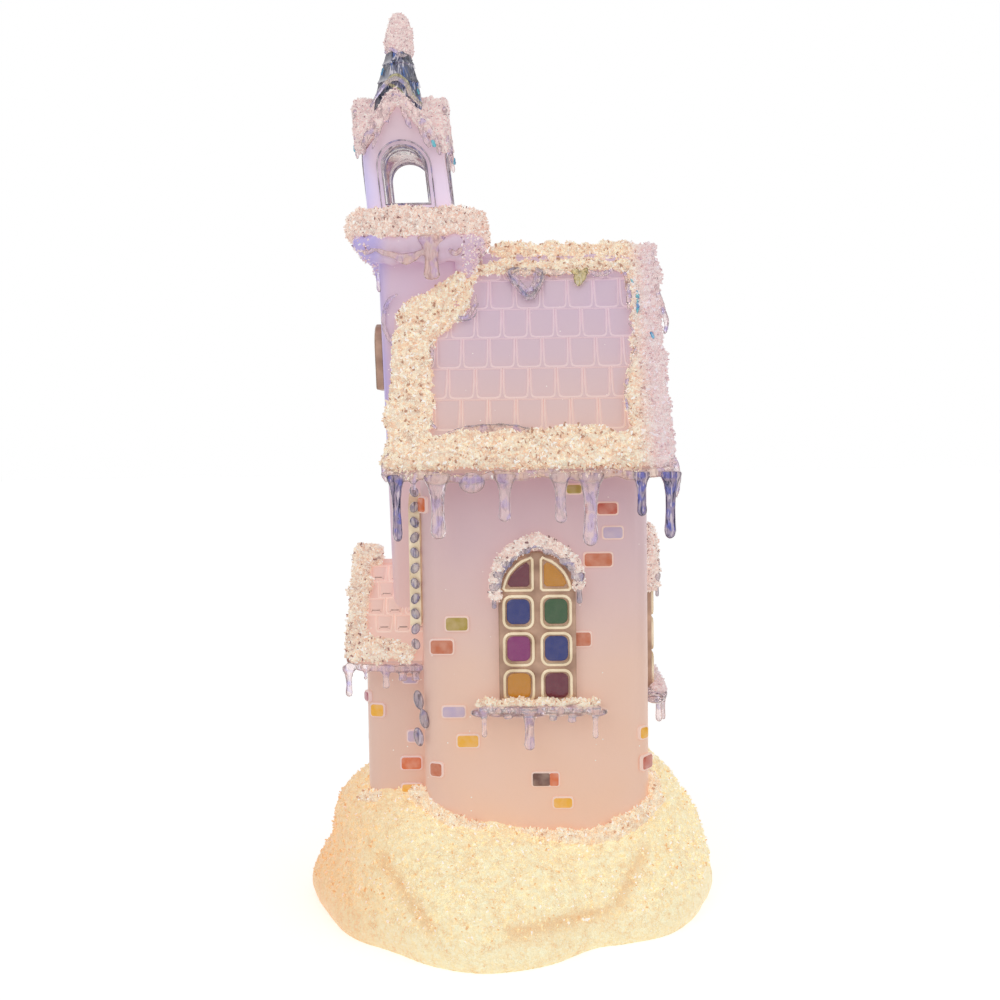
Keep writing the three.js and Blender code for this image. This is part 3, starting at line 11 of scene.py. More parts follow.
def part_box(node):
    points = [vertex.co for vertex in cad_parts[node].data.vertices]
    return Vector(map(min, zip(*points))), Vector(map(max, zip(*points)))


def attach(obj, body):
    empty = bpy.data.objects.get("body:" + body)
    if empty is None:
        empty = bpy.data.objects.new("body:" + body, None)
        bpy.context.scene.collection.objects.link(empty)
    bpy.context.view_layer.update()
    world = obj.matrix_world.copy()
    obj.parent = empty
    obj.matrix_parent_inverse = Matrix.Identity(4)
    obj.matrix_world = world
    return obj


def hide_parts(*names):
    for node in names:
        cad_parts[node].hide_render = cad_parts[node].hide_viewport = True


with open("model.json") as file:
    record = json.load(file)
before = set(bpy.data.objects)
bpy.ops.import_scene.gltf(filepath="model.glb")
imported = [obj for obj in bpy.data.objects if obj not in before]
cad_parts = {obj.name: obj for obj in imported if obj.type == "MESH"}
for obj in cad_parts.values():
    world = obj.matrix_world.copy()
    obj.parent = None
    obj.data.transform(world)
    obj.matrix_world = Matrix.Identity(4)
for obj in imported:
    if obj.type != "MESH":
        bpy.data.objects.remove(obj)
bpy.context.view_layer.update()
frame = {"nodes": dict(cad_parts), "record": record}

scene = bpy.context.scene
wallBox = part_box("nave_walls")
naveFrontX = -26.8
offset = Vector((wallBox[0].x * 1000 - naveFrontX, (wallBox[0].y + wallBox[1].y) * 500, 0))
toFrame = Matrix.Scale(0.001, 4) @ Matrix.Translation(offset)
print("frame loaded, offset", [round(v, 3) for v in offset])


def paint(r, g, b, a=1.0):
    # a screen colour, 0 to 255, as the linear values that the shaders take
    return tuple((c / 255 / 12.92) if c < 11 else ((c / 255 + 0.055) / 1.055) ** 2.4 for c in (
        r, g, b,
    )) + (a,)


# camera, light and floor
view = {
    "place": (7.8, -415.0, 160.7),
    "yaw": 1.2889,
    "pitch": 3.3385,
    "roll": 0.8,
    "focalPixels": 1200, "photoPixels": 1000, "film": 36,
}
studio = {
    "ambient": 0.62,
    "floorShade": 0.93, "floorHalf": 4, "floorGlow": 0.42,
    "lamps": {"keyLamp": ((-0.55, -0.75, 0.75), 0.7, 1.1), "fillLamp": ((0.7, -0.45, 0.45), 0.6, 0.5)},
    "aim": (0, 0, 0.15),
    "cards": {"cardLeft": (-0.75, -0.1, 0.25), "cardRight": (0.8, -0.1, 0.25)},
    "cardShade": (0.02, 0.02, 0.05, 1), "cardSize": (0.5, 0.28),
}


def makeCamera():
    yaw, pitch, roll = (math.radians(view[k]) for k in ("yaw", "pitch", "roll"))
    ahead = Vector((-math.sin(yaw) * math.cos(pitch), math.cos(yaw) * math.cos(pitch), -math.sin(pitch)))
    side = Vector((math.cos(yaw), math.sin(yaw), 0))
    top = side.cross(ahead)
    right = side * math.cos(roll) - top * math.sin(roll)
    up = side * math.sin(roll) + top * math.cos(roll)
    data = bpy.data.cameras.new("photoCamera")
    data.sensor_width = view["film"]
    data.lens = view["film"] * view["focalPixels"] / view["photoPixels"]
    data.clip_start = 0.01
    camera = bpy.data.objects.new("photoCamera", data)
    turn = Matrix((right, up, -ahead)).transposed().to_4x4()
    camera.matrix_world = Matrix.Translation(toFrame @ Vector(view["place"])) @ turn
    scene.collection.objects.link(camera)
    scene.camera = camera


def put(tree, kind, inputs=None, **settings):
    node = tree.nodes.new("ShaderNode" + kind)
    for key, value in settings.items():
        setattr(node, key, value)
    for key, value in (inputs or {}).items():
        if isinstance(value, bpy.types.NodeSocket):
            tree.links.new(value, node.inputs[key])
        else:
            node.inputs[key].default_value = value
    return node


def sums(tree, kind, a, b=0.0, clamp=False):
    return put(tree, "Math", {0: a, 1: b}, operation=kind, use_clamp=clamp).outputs[0]


def mixed(tree, share, a, b):
    return put(tree, "Mix", {0: share, 6: a, 7: b}, data_type="RGBA").outputs[2]


def ranged(tree, value, low, high, start=0.0, end=1.0, curve="LINEAR"):
    # a value between low and high, spread from start to end
    given = {0: value, 1: low, 2: high, 3: start, 4: end}
    return put(tree, "MapRange", given, interpolation_type=curve).outputs[0]


def noisy(tree, place, scale, detail, **more):
    return put(tree, "TexNoise", {"Vector": place, "Scale": scale, "Detail": detail, **more}).outputs


def seenShare(tree):
    # 1 for what the camera, a reflection or clear ice sees
    path = put(tree, "LightPath")
    some = sums(tree, "MAXIMUM", path.outputs["Is Camera Ray"], path.outputs["Is Glossy Ray"])
    return sums(tree, "MAXIMUM", some, path.outputs["Is Transmission Ray"])


def makeFlat(name, skin, half, place):
    mesh = bpy.data.meshes.new(name)
    bm = bmesh.new()
    bmesh.ops.create_grid(bm, x_segments=1, y_segments=1, size=half)
    bm.transform(place)
    bm.to_mesh(mesh)
    bm.free()
    mesh.materials.append(skin)
    flat = bpy.data.objects.new(name, mesh)
    scene.collection.objects.link(flat)
    return flat


def makeStudio():
    world = bpy.data.worlds.new("studio")
    world.use_nodes = True
    scene.world = world
    tree = world.node_tree
    extra = sums(tree, "MULTIPLY", seenShare(tree), 1 - studio["ambient"])
    strength = sums(tree, "ADD", extra, studio["ambient"])
    tree.links.new(strength, tree.nodes["Background"].inputs["Strength"])
    tree.nodes["Background"].inputs["Color"].default_value = (1, 1, 1, 1)
    for name, (place, size, power) in studio["lamps"].items():
        data = bpy.data.lights.new(name, "AREA")
        data.size = size
        data.energy = power
        lamp = bpy.data.objects.new(name, data)
        aim = (Vector(studio["aim"]) - Vector(place)).to_track_quat("-Z", "Y")
        lamp.matrix_world = Matrix.Translation(Vector(place)) @ aim.to_matrix().to_4x4()
        scene.collection.objects.link(lamp)
    floorSkin = bpy.data.materials.new("floorWhite")
    floorSkin.use_nodes = True
    tree = floorSkin.node_tree
    shader = tree.nodes["Principled BSDF"]
    shader.inputs["Base Color"].default_value = (*[studio["floorShade"]] * 3, 1)
    shader.inputs["Roughness"].default_value = 0.9
    shader.inputs["Specular IOR Level"].default_value = 0.1
    shine = sums(tree, "MULTIPLY", seenShare(tree), studio["floorGlow"])
    glow = put(tree, "Emission", {"Color": (1, 1, 1, 1), "Strength": shine})
    both = put(tree, "AddShader", {0: shader.outputs[0], 1: glow.outputs[0]})
    tree.links.new(both.outputs[0], tree.nodes["Material Output"].inputs["Surface"])
    makeFlat("floor", floorSkin, studio["floorHalf"], Matrix.Identity(4))
    # dark cards beside the camera, seen only in the ice
    cardSkin = bpy.data.materials.new("cardDark")
    cardSkin.use_nodes = True
    cardSkin.node_tree.nodes["Principled BSDF"].inputs["Base Color"].default_value = studio["cardShade"]
    upright = Matrix.Rotation(math.pi / 2, 4, "Y") @ Matrix.Diagonal((*studio["cardSize"], 1, 1))
    for name, place in studio["cards"].items():
        card = makeFlat(name, cardSkin, 1, Matrix.Translation(place) @ upright)
        card.visible_camera = card.visible_diffuse = card.visible_shadow = False


makeCamera()
makeStudio()
scene.view_settings.view_transform = "Standard"
print("camera, light and floor made")


# shader groups
def newGroup(name, inputs, outputs):
    tree = bpy.data.node_groups.new(name, "ShaderNodeTree")
    for label, value in inputs:
        tree.interface.new_socket(label, in_out="INPUT", socket_type="NodeSocketFloat").default_value = value
    for label in outputs:
        tree.interface.new_socket(label, in_out="OUTPUT", socket_type="NodeSocketFloat")
    return tree, tree.nodes.new("NodeGroupInput").outputs, tree.nodes.new("NodeGroupOutput").inputs


def inMillimetres(tree):
    place = put(tree, "TexCoord").outputs["Object"]
    return put(tree, "VectorMath", {0: place, "Scale": 1000.0}, operation="SCALE").outputs[0]


def makeFade():
    # how far up between two heights, and how far across, with a soft wobble
    inputs = (("Low", 0), ("High", 100), ("Left", -40), ("Right", 50), ("Wobble", 6))
    tree, given, found = newGroup("fade", inputs, ("Up", "Across"))
    place = inMillimetres(tree)
    wave = sums(tree, "SUBTRACT", noisy(tree, place, 0.03, 2.0)[0], 0.5)
    push = sums(tree, "MULTIPLY", wave, given["Wobble"])
    parts = put(tree, "SeparateXYZ", {0: place}).outputs
    for out, axis, low, high in (("Up", "Z", "Low", "High"), ("Across", "X", "Left", "Right")):
        value = sums(tree, "ADD", parts[axis], push)
        spread = ranged(tree, value, given[low], given[high], curve="SMOOTHSTEP")
        tree.links.new(spread, found[out])
    return tree


def makeFrost():
    # the even grain of frosted plastic, its cloudy variation and a few points of painted glint
    tree, given, found = newGroup(
        "frost", (("Grain Size", 0.5), ("Cloud Size", 24)), ("Cloud", "Glint", "Height"),
    )
    place = inMillimetres(tree)
    cloud = noisy(tree, place, sums(tree, "DIVIDE", 1.0, given["Cloud Size"]), 3.0, Roughness=0.45)
    grain = noisy(tree, place, sums(tree, "DIVIDE", 1.0, given["Grain Size"]), 2.0)
    cells = put(tree, "TexVoronoi", {"Vector": place, "Scale": 0.42}, feature="F1").outputs
    spark = ranged(tree, cells["Distance"], 0.06, 0.11, 1.0, 0.0)
    some = put(tree, "SeparateColor", {0: cells["Color"]}).outputs[0]
    kept = sums(tree, "MULTIPLY", spark, sums(tree, "GREATER_THAN", some, 0.86))
    for name, socket in (("Cloud", cloud[0]), ("Glint", kept), ("Height", grain[0])):
        tree.links.new(socket, found[name])
    return tree


def makeGranule():
    # coarse snow: a tone for each granule, painted shade in the gaps between them, and their height
    tree, given, found = newGroup("granule", (("Size", 1.0),), ("Shade", "GapShade", "Height"))
    place = inMillimetres(tree)
    wave = noisy(tree, place, 0.7, 2.0)["Color"]
    bent = put(tree, "VectorMath", {0: place, 1: wave}, operation="ADD").outputs[0]
    grid = {"Vector": bent, "Scale": sums(tree, "DIVIDE", 1.0, given["Size"])}
    cells = put(tree, "TexVoronoi", grid, feature="F1").outputs
    edges = put(tree, "TexVoronoi", grid, feature="DISTANCE_TO_EDGE").outputs
    some = put(tree, "SeparateColor", {0: cells["Color"]}).outputs[0]
    gapShade = ranged(tree, edges["Distance"], 0.02, 0.16, 1.0, 0.0)
    where = ranged(tree, noisy(tree, place, 0.32, 4.0, Roughness=0.7)[0], 0.48, 0.66)
    height = sums(tree, "SUBTRACT", 1.0, cells["Distance"])
    for name, socket in (("Shade", some), ("GapShade", sums(tree, "MULTIPLY", gapShade, where)), ("Height", height)):
        tree.links.new(socket, found[name])
    return tree


fade = makeFade()
frost = makeFrost()
granule = makeGranule()


def useGroup(tree, group, **values):
    node = tree.nodes.new("ShaderNodeGroup")
    node.node_tree = group
    for key, value in values.items():
        node.inputs[key.replace("_", " ")].default_value = value
    return node.outputs


def newSkin(name, **values):
    skin = bpy.data.materials.new(name)
    skin.use_nodes = True
    shader = skin.node_tree.nodes["Principled BSDF"]
    for key, value in values.items():
        shader.inputs[key.replace("_", " ")].default_value = value
    return skin, skin.node_tree, shader


def bumped(tree, shader, height, strength, depth=0.0004):
    bump = put(tree, "Bump", {"Height": height, "Strength": strength, "Distance": depth})
    tree.links.new(bump.outputs[0], shader.inputs["Normal"])


def feed(tree, socket, shader, *names):
    for name in names:
        tree.links.new(socket, shader.inputs[name])


# finishes
# frosted looks: foot, middle and top change the colour with height as painted light, brighter low down with a
# warm painted glow at the foot; glow sets an emission, a painted glow with no lamp behind it
frostLooks = {
    "wallFrost": {
        "foot": (238, 196, 170), "middle": (232, 196, 178), "top": (212, 184, 194), "left": (214, 180, 172),
        "low": 28, "high": 150, "glow": 0.18,
    },
    "towerFrost": {
        "foot": (232, 198, 194), "middle": (222, 194, 206), "top": (218, 192, 214), "left": (168, 164, 242),
        "low": 90, "high": 215, "edge": (-42, -36), "glow": 0.16,
    },
    "porchFrost": {
        "foot": (234, 192, 166), "middle": (224, 186, 168), "top": (214, 182, 176), "left": (222, 186, 170),
        "low": 40, "high": 115, "glow": 0.18,
    },
    "belfryFrost": {
        "foot": (242, 224, 250), "middle": (228, 204, 222), "top": (220, 195, 206), "left": (178, 186, 255),
        "low": 234, "high": 266, "edge": (-48, -38), "glow": 0.2,
    },
    # tray and lip are one acrylic: the lip looks are lit copies, painted lighter as a highlight on the raised
    # lips
    "porchTray": {
        "foot": (246, 208, 192), "middle": (246, 208, 196), "top": (240, 206, 200), "left": (240, 204, 192),
        "low": 80, "high": 122, "glow": 0.2,
    },
    "porchLipLit": {
        "foot": (255, 226, 208), "middle": (255, 226, 212), "top": (250, 224, 218), "left": (250, 222, 210),
        "low": 80, "high": 122, "glow": 0.2,
    },
    "shingleTray": {
        "foot": (230, 196, 187), "middle": (219, 192, 203), "top": (214, 190, 211), "left": (218, 190, 196),
        "low": 150, "high": 222, "glow": 0.14,
    },
    "shingleLip": {
        "foot": (250, 220, 206), "middle": (240, 216, 220), "top": (236, 214, 228), "left": (240, 214, 216),
        "low": 150, "high": 222, "glow": 0.14,
    },
}


def makeFrosted(name, look):
    tone = lambda key: paint(*look[key])
    finish = {
        "Roughness": 0.42, "Coat_Weight": 0.12, "Coat_Roughness": 0.3, "Emission_Strength": look["glow"],
    }
    skin, tree, shader = newSkin(name, **finish)
    left, right = look.get("edge", (-40, -10))
    ways = useGroup(tree, fade, Low=look["low"], High=look["high"], Left=left, Right=right, Wobble=8)
    grain = useGroup(tree, frost)
    # painted glow: the colour runs from foot to middle to top with height
    shade = mixed(tree, ranged(tree, ways["Up"], 0.0, 0.5), tone("foot"), tone("middle"))
    shade = mixed(tree, ranged(tree, ways["Up"], 0.45, 1.0), shade, tone("top"))
    # painted side light: toward the left edge the colour turns to left, a painted highlight on the tower and
    # belfry and a slight painted shade on the other frosted parts
    sideLightShare = sums(tree, "MULTIPLY", sums(tree, "SUBTRACT", 1.0, ways["Across"]), 0.7)
    shade = mixed(tree, sideLightShare, shade, tone("left"))
    shade = mixed(tree, ranged(tree, grain["Cloud"], 0.3, 0.7, 0.0, 0.22), shade, paint(232, 204, 198))
    # painted glints: a few points turned near white
    shade = mixed(tree, grain["Glint"], shade, paint(255, 244, 238))
    feed(tree, shade, shader, "Base Color", "Emission Color")
    bumped(tree, shader, grain["Height"], 0.12)
    return skin


# snow looks; glow sets an emission, a painted glow with no lamp behind it
snowLooks = {
    "snowCream": {
        "light": (255, 248, 226), "dark": (240, 204, 178), "gapShade": (188, 144, 122), "size": 0.9, "glow": 0.26,
        "right": (226, 204, 226),
    },
    "snowBase": {
        "light": (255, 248, 211), "dark": (254, 230, 181), "gapShade": (236, 190, 138), "size": 0.8, "glow": 0.32,
        "left": (236, 160, 92),
    },
    "snowPink": {
        "light": (255, 238, 232), "dark": (234, 200, 200), "gapShade": (160, 124, 138), "size": 0.7, "glow": 0.24,
    },
    "snowPorch": {
        "light": (255, 244, 226), "dark": (236, 202, 180), "gapShade": (166, 124, 116), "size": 0.8, "glow": 0.26,
    },
    "snowCornice": {
        "light": (255, 243, 232), "dark": (236, 200, 186), "gapShade": (160, 122, 118), "size": 0.8, "glow": 0.26,
    },
    "snowFoot": {
        "light": (255, 246, 222), "dark": (248, 216, 182), "gapShade": (214, 166, 134), "size": 0.8, "glow": 0.28,
    },
    "snowHood": {
        "light": (255, 244, 234), "dark": (236, 206, 196), "gapShade": (140, 106, 106), "size": 0.7, "glow": 0.28,
    },
}


def makeSnow(name, look):
    tone = lambda key: paint(*look[key])
    skin, tree, shader = newSkin(name, Coat_Weight=0.25, Coat_Roughness=0.12, Emission_Strength=look["glow"])
    bits = useGroup(tree, granule, Size=look["size"])
    fine = useGroup(tree, granule, Size=look["size"] * 0.45)
    # painted shade: the hollow attribute darkens the colour in the folds of the base
    hollow = put(tree, "Attribute", attribute_name="hollow").outputs["Fac"]
    # granule tones under the crystals, with painted shade in the gaps between granules
    under = mixed(tree, sums(tree, "MULTIPLY", bits["Shade"], 0.9), tone("light"), tone("dark"))
    for socket, share in ((bits["GapShade"], 0.85), (fine["GapShade"], 0.4), (hollow, 0.6)):
        under = mixed(tree, sums(tree, "MULTIPLY", socket, share), under, tone("gapShade"))
    # each crystal carries its own number: a few dark ones in painted gap shade, a few bright ones as painted
    # highlights, the rest between
    bit = put(tree, "Attribute", attribute_name="bit").outputs["Fac"]
    over = mixed(tree, ranged(tree, bit, 0.14, 0.75), tone("dark"), tone("light"))
    over = mixed(tree, sums(tree, "LESS_THAN", bit, 0.09), over, tone("gapShade"))
    bright = sums(tree, "GREATER_THAN", bit, 0.84)
    over = mixed(tree, bright, over, paint(255, 252, 246))
    shade = mixed(tree, sums(tree, "GREATER_THAN", bit, 0.001), under, over)
    # painted light: a lilac cast toward the right rake of the roof snow, and a darker orange painted shade
    # toward the left of the base
    if "right" in look:
        across = useGroup(tree, fade, Left=40, Right=49, Wobble=6)["Across"]
        shade = mixed(tree, sums(tree, "MULTIPLY", across, 0.5), shade, tone("right"))
    if "left" in look:
        across = useGroup(tree, fade, Left=-78, Right=-18, Wobble=14)["Across"]
        away = sums(tree, "SUBTRACT", 1.0, across)
        shade = mixed(tree, sums(tree, "MULTIPLY", away, 0.6), shade, tone("left"))
    feed(tree, shade, shader, "Base Color", "Emission Color")
    feed(tree, ranged(tree, bright, 0.0, 1.0, 0.6, 0.2), shader, "Roughness")
    bumped(tree, shader, sums(tree, "ADD", bits["Height"], fine["Height"]), 0.6, 0.0006)
    return skin


# ice looks: dark and rim are painted shade and painted highlight, tint a painted coloured glint
iceLooks = {
    "iceClear": {
        "clear": (250, 236, 236), "dark": (122, 98, 112), "rim": (255, 250, 246), "tint": (196, 190, 250),
        "rough": 0.03, "share": 0.5, "through": 0.8,
    },
    "iceNavy": {
        "clear": (176, 160, 186), "dark": (30, 32, 76), "rim": (244, 228, 236), "tint": (84, 104, 226),
        "rough": 0.03, "share": 0.95, "through": 0.45,
    },
    "iceSpire": {
        "clear": (120, 122, 150), "dark": (24, 26, 44), "rim": (238, 234, 244), "tint": (70, 130, 226),
        "rough": 0.03, "share": 0.95, "through": 0.3,
    },
    "iceSmoke": {
        "clear": (206, 194, 202), "dark": (78, 66, 82), "rim": (246, 238, 242), "tint": (150, 150, 210),
        "rough": 0.04, "share": 0.7, "through": 0.55,
    },
    "iceWarm": {
        "clear": (250, 226, 212), "dark": (160, 126, 130), "rim": (255, 246, 236), "tint": (216, 194, 240),
        "rough": 0.06, "share": 0.5, "through": 0.65,
    },
    "iceGold": {
        "clear": (240, 230, 176), "dark": (92, 80, 62), "rim": (255, 252, 232), "tint": (214, 196, 110),
        "rough": 0.03, "share": 0.7, "through": 0.6,
    },
    "iceTurquoise": {
        "clear": (130, 226, 238), "dark": (54, 96, 170), "rim": (240, 252, 255), "tint": (110, 160, 246),
        "rough": 0.03, "share": 0.7, "through": 0.5,
    },
}


def makeIce(name, look):
    # painted reflection: clear in the middle, painted shade towards the edge with a painted highlight at the
    # rim, painted light and dark streaks that run down, patches of painted coloured glint, and a slight
    # painted glow
    tone = lambda key: paint(*look[key])
    finish = {"Roughness": look["rough"], "IOR": 1.38, "Transmission_Weight": look["through"]}
    skin, tree, shader = newSkin(name, Coat_Weight=0.6, Coat_Roughness=0.02, Emission_Strength=0.05, **finish)
    facing = put(tree, "LayerWeight", {"Blend": 0.5}).outputs["Facing"]
    place = inMillimetres(tree)
    drawn = put(tree, "Mapping", {"Vector": place, "Scale": (1.0, 1.0, 0.16)}).outputs[0]
    wave = noisy(tree, drawn, 1.0, 2.0, Distortion=1.0)[0]
    patch = noisy(tree, place, 0.3, 1.0)[0]
    shade = mixed(tree, ranged(tree, patch, 0.52, 0.64, end=0.7), tone("clear"), tone("tint"))
    shade = mixed(tree, ranged(tree, wave, 0.45, 0.38, end=look["share"]), shade, tone("dark"))
    shade = mixed(tree, ranged(tree, wave, 0.55, 0.6, end=look["share"]), shade, tone("rim"))
    shade = mixed(tree, ranged(tree, facing, 0.28, 0.45, end=0.75, curve="SMOOTHSTEP"), shade, tone("dark"))
    shade = mixed(tree, ranged(tree, facing, 0.5, 0.66, curve="SMOOTHSTEP"), shade, tone("rim"))
    feed(tree, shade, shader, "Base Color", "Emission Color")
    bumped(tree, shader, noisy(tree, place, 0.5, 1.0)[0], 0.4, 0.0008)
    return skin


def makeGold(name, light, dark, rough):
    skin, tree, shader = newSkin(name, Metallic=0.45, Roughness=rough, Emission_Strength=0.05)
    grain = useGroup(tree, frost, Grain_Size=0.35, Cloud_Size=7)
    shade = mixed(tree, ranged(tree, grain["Cloud"], 0.3, 0.7), paint(*dark), paint(*light))
    feed(tree, shade, shader, "Base Color", "Emission Color")
    bumped(tree, shader, grain["Height"], 0.25)
    return skin


def makeTinted(name, rough, glow, mottle):
    # paint or coloured glass whose colour lies in the piece's own attribute, with a little emission as
    # painted glow
    skin, tree, shader = newSkin(
        name, Roughness=rough, Coat_Weight=0.6, Coat_Roughness=0.06, Emission_Strength=glow,
    )
    tint = put(tree, "Attribute", attribute_name="tint").outputs["Color"]
    grain = useGroup(tree, frost, Grain_Size=0.6, Cloud_Size=2.6)
    shade = mixed(tree, ranged(tree, grain["Cloud"], 0.35, 0.7, end=mottle), tint, paint(255, 226, 206))
    feed(tree, shade, shader, "Base Color", "Emission Color")
    bumped(tree, shader, grain["Height"], 0.3)
    return skin


def makePlain(name, light, dark, **values):
    # moulded plastic, plated metal and wire, with a soft grain and slight wear
    skin, tree, shader = newSkin(name, **values)
    grain = useGroup(tree, frost, Grain_Size=0.25, Cloud_Size=9)
    shade = mixed(tree, grain["Cloud"], paint(*dark), paint(*light))
    feed(tree, shade, shader, "Base Color")
    bumped(tree, shader, grain["Height"], 0.15)
    return skin


skins = {name: makeFrosted(name, look) for name, look in frostLooks.items()}
skins.update({name: makeSnow(name, look) for name, look in snowLooks.items()})
skins.update({name: makeIce(name, look) for name, look in iceLooks.items()})
# the plate gold and a lit copy for the raised rims, painted lighter as a highlight; both with a slight
# painted glow
skins["goldPlate"] = makeGold("goldPlate", (206, 170, 146), (150, 116, 98), 0.34)
skins["goldRimLit"] = makeGold("goldRimLit", (255, 238, 208), (226, 202, 166), 0.24)
skins["brickPaint"] = makeTinted("brickPaint", 0.3, 0.1, 0.22)
skins["paneGlass"] = makeTinted("paneGlass", 0.16, 0.03, 0.03)
# painted shadow: the dark floor of each pane's recess
skins["recessShadow"] = makePlain("recessShadow", (126, 98, 100), (92, 66, 76), Roughness=0.3)
skins["door"] = makePlain("doorBrown", (176, 130, 92), (126, 86, 58), Roughness=0.5)
skins["whitePlastic"] = makePlain("whitePlastic", (236, 234, 230), (226, 223, 218), Roughness=0.5)
skins["blackPlastic"] = makePlain("blackPlastic", (44, 44, 48), (30, 30, 33), Roughness=0.45)
skins["steel"] = makePlain("platedSteel", (206, 206, 210), (168, 168, 172), Roughness=0.28, Metallic=1.0)
skins["cell"] = makePlain("cellSleeve", (84, 134, 190), (58, 104, 160), Roughness=0.35)
skins["board"] = makePlain("lampBoard", (60, 124, 82), (42, 98, 64), Roughness=0.5)
skins["lamp"] = makePlain("lampLens", (255, 244, 214), (250, 232, 190), Roughness=0.12)
skins["redWire"] = makePlain("redWire", (196, 56, 48), (160, 38, 34), Roughness=0.45)
slotSkins = {
    "snow": "snowCream", "frosted_acrylic": "wallFrost", "roof_acrylic": "shingleTray", "ice": "iceClear",
    "antique_gold": "goldPlate", "stained_glass": "brickPaint", "wood_brown": "door",
    "white_plastic": "whitePlastic",
    "black_plastic": "blackPlastic", "steel": "steel", "cell_sleeve": "cell", "circuit_board": "board",
    "lamp_lens": "lamp", "red_insulation": "redWire", "black_insulation": "blackPlastic",
}
for entry in frame["record"]["subparts"]:
    mesh = frame["nodes"][entry["node"]].data
    mesh.materials.clear()
    mesh.materials.append(skins[slotSkins[entry["material_slot"]]])
print("finishes made")


# tools for making pieces
def addPiece(name, bm, skinNames, nodes=(), angle=35):
    bmesh.ops.recalc_face_normals(bm, faces=bm.faces)
    bm.transform(toFrame)
    mesh = bpy.data.meshes.new(name)
    bm.to_mesh(mesh)
    bm.free()
    return placeMesh(name, mesh, skinNames, nodes, angle)


def placeMesh(name, mesh, skinNames, nodes=(), angle=35):
    for skinName in [skinNames] if isinstance(skinNames, str) else skinNames:
        mesh.materials.append(skins[skinName])
    mesh.shade_smooth()
    mesh.set_sharp_from_angle(angle=math.radians(angle))
    piece = bpy.data.objects.new(name, mesh)
    scene.collection.objects.link(piece)
    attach(piece, "church")
    if nodes:
        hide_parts(*nodes)
    return piece


def moved(bm, matrix, verts=None):
    bmesh.ops.transform(bm, matrix=matrix, verts=bm.verts if verts is None else verts)


farSide = Matrix.Diagonal((1, -1, 1, 1))


def addBoth(name, bm, skinName, nodes=()):
    # a piece of ice on the near side, and its mirror image on the far side
    far = bm.copy()
    moved(far, farSide)
    for side, made in (("Near", bm), ("Far", far)):
        addPiece(name + side, made, skinName, [f"{node}_{side.lower()}" for node in nodes], angle=180)


def fromNode(node):
    bm = bmesh.new()
    bm.from_mesh(frame["nodes"][node].data)
    bm.transform(toFrame.inverted())
    bmesh.ops.remove_doubles(bm, verts=bm.verts, dist=0.01)
    return bm


def fused(bm, voxel, rounds=2):
    # melts overlapping closed shapes into one skin and softens it
    mesh = bpy.data.meshes.new("melt")
    bm.to_mesh(mesh)
    bm.free()
    work = bpy.data.objects.new("melt", mesh)
    scene.collection.objects.link(work)
    melt = work.modifiers.new("melt", "REMESH")
    melt.mode = "VOXEL"
    melt.voxel_size = voxel
    made = bpy.data.meshes.new_from_object(work.evaluated_get(bpy.context.evaluated_depsgraph_get()))
    bpy.data.objects.remove(work)
    out = bmesh.new()
    out.from_mesh(made)
    bpy.data.meshes.remove(made)
    bpy.data.meshes.remove(mesh)
    for _ in range(rounds):
        bmesh.ops.smooth_vert(
            out, verts=out.verts, factor=0.5, use_axis_x=True, use_axis_y=True, use_axis_z=True,
        )
    return out


def roughen(bm, lumps):
    # pushes the skin in and out along its normals by several sizes of noise
    bm.normal_update()
    for vert in bm.verts:
        push = sum(height * noise.noise(vert.co / size + Vector((size, 7.3, 1.7))) for size, height in lumps)
        vert.co += vert.normal * push


def crystalShape():
    bm = bmesh.new()
    bmesh.ops.create_cone(bm, cap_ends=True, segments=4, radius1=0.5, radius2=0.3, depth=1.0)
    points = np.array([v.co for v in bm.verts])
    faces = [[v.index for v in f.verts] for f in bm.faces]
    bm.free()
    return points, faces


crystalPoints, crystalFaces = crystalShape()


